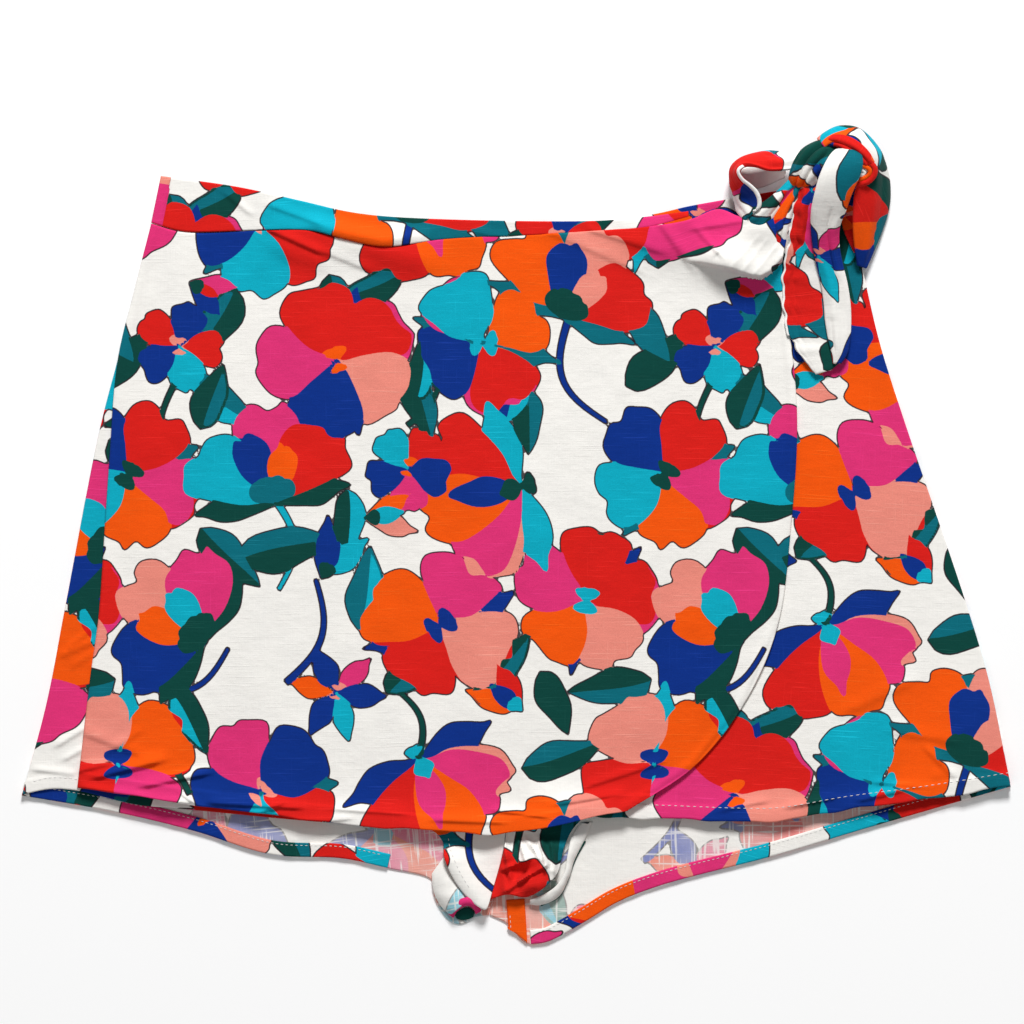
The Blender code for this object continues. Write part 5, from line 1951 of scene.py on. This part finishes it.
    def _knot_and_tail(self) -> list[Strap]:
        """The band round the knot and the tail that hangs from it in two layers."""
        return [
            self._tie(
                "tie_knot", KNOT, Place(40, 140, 60), (20, 36),
                creases=(
                    (0.10, 0.16, 1, 0.22, 0.055, 1.2), (0.22, 0.33, 1, 0.36, 0.045, -1.3),
                    (0.30, 0.47, 1, 0.48, 0.055, 1.3), (0.38, 0.60, 1, 0.59, 0.045, -1.4),
                    (0.20, 0.74, 1, 0.71, 0.055, 1.2), (0.05, 0.88, 0.8, 0.84, 0.045, -1),
                ),
                rumple=Rumple(85, 3.2, 0.9, 6),
            ),
            self._tie(
                "tie_tail_under", rippled(TAIL_UNDER, 0.5, 14.0), Place(66, 200, 8), (24, 118),
                wall=1.7, beads=(0.7, 0.0),
                creases=(
                    (0, 0.3, 0.3, 0.35, 0.10, 1.3), (0.02, 0.62, 0.28, 0.5, 0.09, -1.1),
                    (0.3, 0.28, 0.8, 0.2, 0.07, -0.5), (0.25, 0.14, 0.9, 0.12, 0.05, 0.5),
                ),
                rumple=Rumple(86, 6.5, 0.5, 1.3),
            ),
            self._tie(
                "tie_tail", TAIL, Place(197, 300, 0), (20, 130), fullness=3.0, beads=(0.0, 0.25),
                creases=(
                    (0.34, 0.80, 0.62, 0.72, 0.09, 0.9), (0.30, 0.55, 0.60, 0.62, 0.07, -0.7),
                    (0.55, 0.3, 0.95, 0.35, 0.12, 0.6), (0.80, 0.26, 0.94, 0.22, 0.10, -0.5),
                ),
                rumple=Rumple(87, 7, 0.7, 2.4),
            ),
        ]


@dataclass
class StitchLine:
    """A line of white stitches that lie on the cloth.

    Attributes:
        name: the piece's name.
        line: the points that it follows, mm, from left to right.
        height: the height of the cloth under it.
        pitch: the length of one stitch and its gap, mm.
        dash: the length that shows, mm.
        thick: the thread's thickness, mm.
        seed: sets how unevenly the stitches lie.
    """

    name: str
    line: Edge
    height: Height
    pitch: float = 3.5
    dash: float = 2.4
    thick: float = 0.44
    seed: int = 5

    def build(self, shift: Point, finish: bpy.types.Material) -> bpy.types.Object:
        """Make the stitches as one piece.

        Args:
            shift: where the garment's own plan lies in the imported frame, mm.
            finish: the thread.

        Returns:
            The piece.
        """
        rng = np.random.default_rng(self.seed)
        curve = through(self.line, np.linspace(0.0, 1.0, 400))
        count = int(length_of(curve) / self.pitch)
        spots = through(self.line, (np.arange(count) + 0.5) / count)
        runs = np.gradient(spots, axis=0)
        z = self.height(spots[:, 0], spots[:, 1])
        slope = np.gradient(z)
        bm = bmesh.new()
        for spot, run, level, rise in zip(spots, runs, z, slope):
            turn = math.atan2(run[1], run[0]) + rng.uniform(-0.05, 0.05)
            place = Vector(((spot[0] + shift.x) * MM, (spot[1] + shift.y) * MM, (level + STITCH_RISE) * MM))
            half = 0.5 * self.dash * rng.uniform(0.86, 1.08) * MM
            size = Matrix.Diagonal((half, 0.5 * self.thick * MM, 0.5 * self.thick * MM, 1.0))
            tilt = Matrix.Rotation(-math.atan2(rise, self.pitch), 4, "Y")
            matrix = Matrix.Translation(place) @ Matrix.Rotation(turn, 4, "Z") @ tilt @ size
            bmesh.ops.create_uvsphere(bm, u_segments=6, v_segments=5, radius=1.0, matrix=matrix)
        mesh = mesh_of(bm, self.name)
        mesh.shade_smooth()
        mesh.materials.append(finish)
        piece = add(self.name, mesh)
        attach(piece, "root")
        LOG.info("%s: %d stitches", self.name, count)
        return piece


@dataclass
class Studio:
    """A plain pale floor, soft light from the waist's side, and a camera straight above.

    Attributes:
        view_width: how much of the floor the picture spans, m.
        view_centre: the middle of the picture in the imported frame, m.
        lens: the focal length, mm, long enough to look straight down everywhere.
        sensor: the sensor's width, mm.
        sky: the strength of the even light from all round.
        floor_half: half the floor's width, m.
        floor_drop: how far the floor lies under the garment, m.
    """

    view_width: float = 0.5734
    view_centre: tuple[float, float] = (-0.0024, 0.0135)
    lens: float = 400.0
    sensor: float = 36.0
    sky: float = 0.21
    floor_half: float = 12.0
    floor_drop: float = 0.0002

    def build(self) -> None:
        """Set up the floor, the lights and the camera."""
        self._floor()
        self._light("key", at=(0.4, 3.7, 3.1), size=1.1, power=262.0)
        self._light("fill", at=(-1.2, -1.8, 3.2), size=2.2, power=14.0)
        world = bpy.data.worlds.new("studio")
        world.use_nodes = True
        shade = world.node_tree.nodes["Background"]
        shade.inputs["Color"].default_value = (1.0, 1.0, 1.0, 1.0)
        shade.inputs["Strength"].default_value = self.sky
        bpy.context.scene.world = world
        bpy.context.scene.view_settings.view_transform = "Standard"
        self._camera()

    def _floor(self) -> None:
        """A wide plain floor just under the garment."""
        bm = bmesh.new()
        bmesh.ops.create_grid(bm, x_segments=1, y_segments=1, size=self.floor_half)
        bmesh.ops.translate(bm, verts=bm.verts[:], vec=(0.0, 0.0, -self.floor_drop))
        mesh = mesh_of(bm, "floor")
        mesh.materials.append(PaleFloor("pale_floor").make())
        add("floor", mesh)

    @staticmethod
    def _light(name: str, at: tuple[float, float, float], size: float, power: float) -> None:
        """A soft square light that looks at the garment."""
        lamp = bpy.data.lights.new(name, "AREA")
        lamp.size, lamp.energy = size, power
        held = add(name, lamp)
        held.location = at
        held.rotation_mode = "QUATERNION"
        held.rotation_quaternion = (-Vector(at)).to_track_quat("-Z", "Y")

    def _camera(self) -> None:
        """A camera straight above, with the waist at the top of the picture."""
        eye = bpy.data.cameras.new("camera")
        eye.lens, eye.sensor_width = self.lens, self.sensor
        eye.clip_start, eye.clip_end = 0.1, 60.0
        held = add("camera", eye)
        distance = 0.5 * self.view_width / (0.5 * self.sensor / self.lens)
        held.location = (*self.view_centre, distance)
        bpy.context.scene.camera = held


def main() -> None:
    """Build the garment from the back of the shorts up to the bow, then its stitches and the studio."""
    shift = Point(
        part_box("shorts_back_left")[0][0] / MM - SIDE_LEFT[-1].x,
        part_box("waistband_back")[1][1] / MM - BACK_BAND_TOP[0].y,
    )
    right = PrintedSlub("print_right_side").make()
    wrong = PrintedSlub("print_wrong_side", faded=0.22, worn=0.34, threads=0.6, crossed=0.44, lift=0.4).make()
    thread = Thread("white_thread").make()
    plain = PrintedSlub("plain_edge", ground=(250, 248, 244), faded=1.0).make()
    cloth = Cloth(PrintDesign(), shift, {Face.RIGHT: right, Face.WRONG: wrong, Face.PLAIN: plain}, thread)
    lie = Lie()
    shorts = Shorts(cloth, lie)
    front = WrapFront(cloth, lie)
    bow = Bow(cloth)
    for part in (shorts, front, bow):
        for piece in part.build():
            LOG.info("built %s", piece.name)
    cloth.declare()
    Studio().build()


if __name__ == "__main__":
    main()
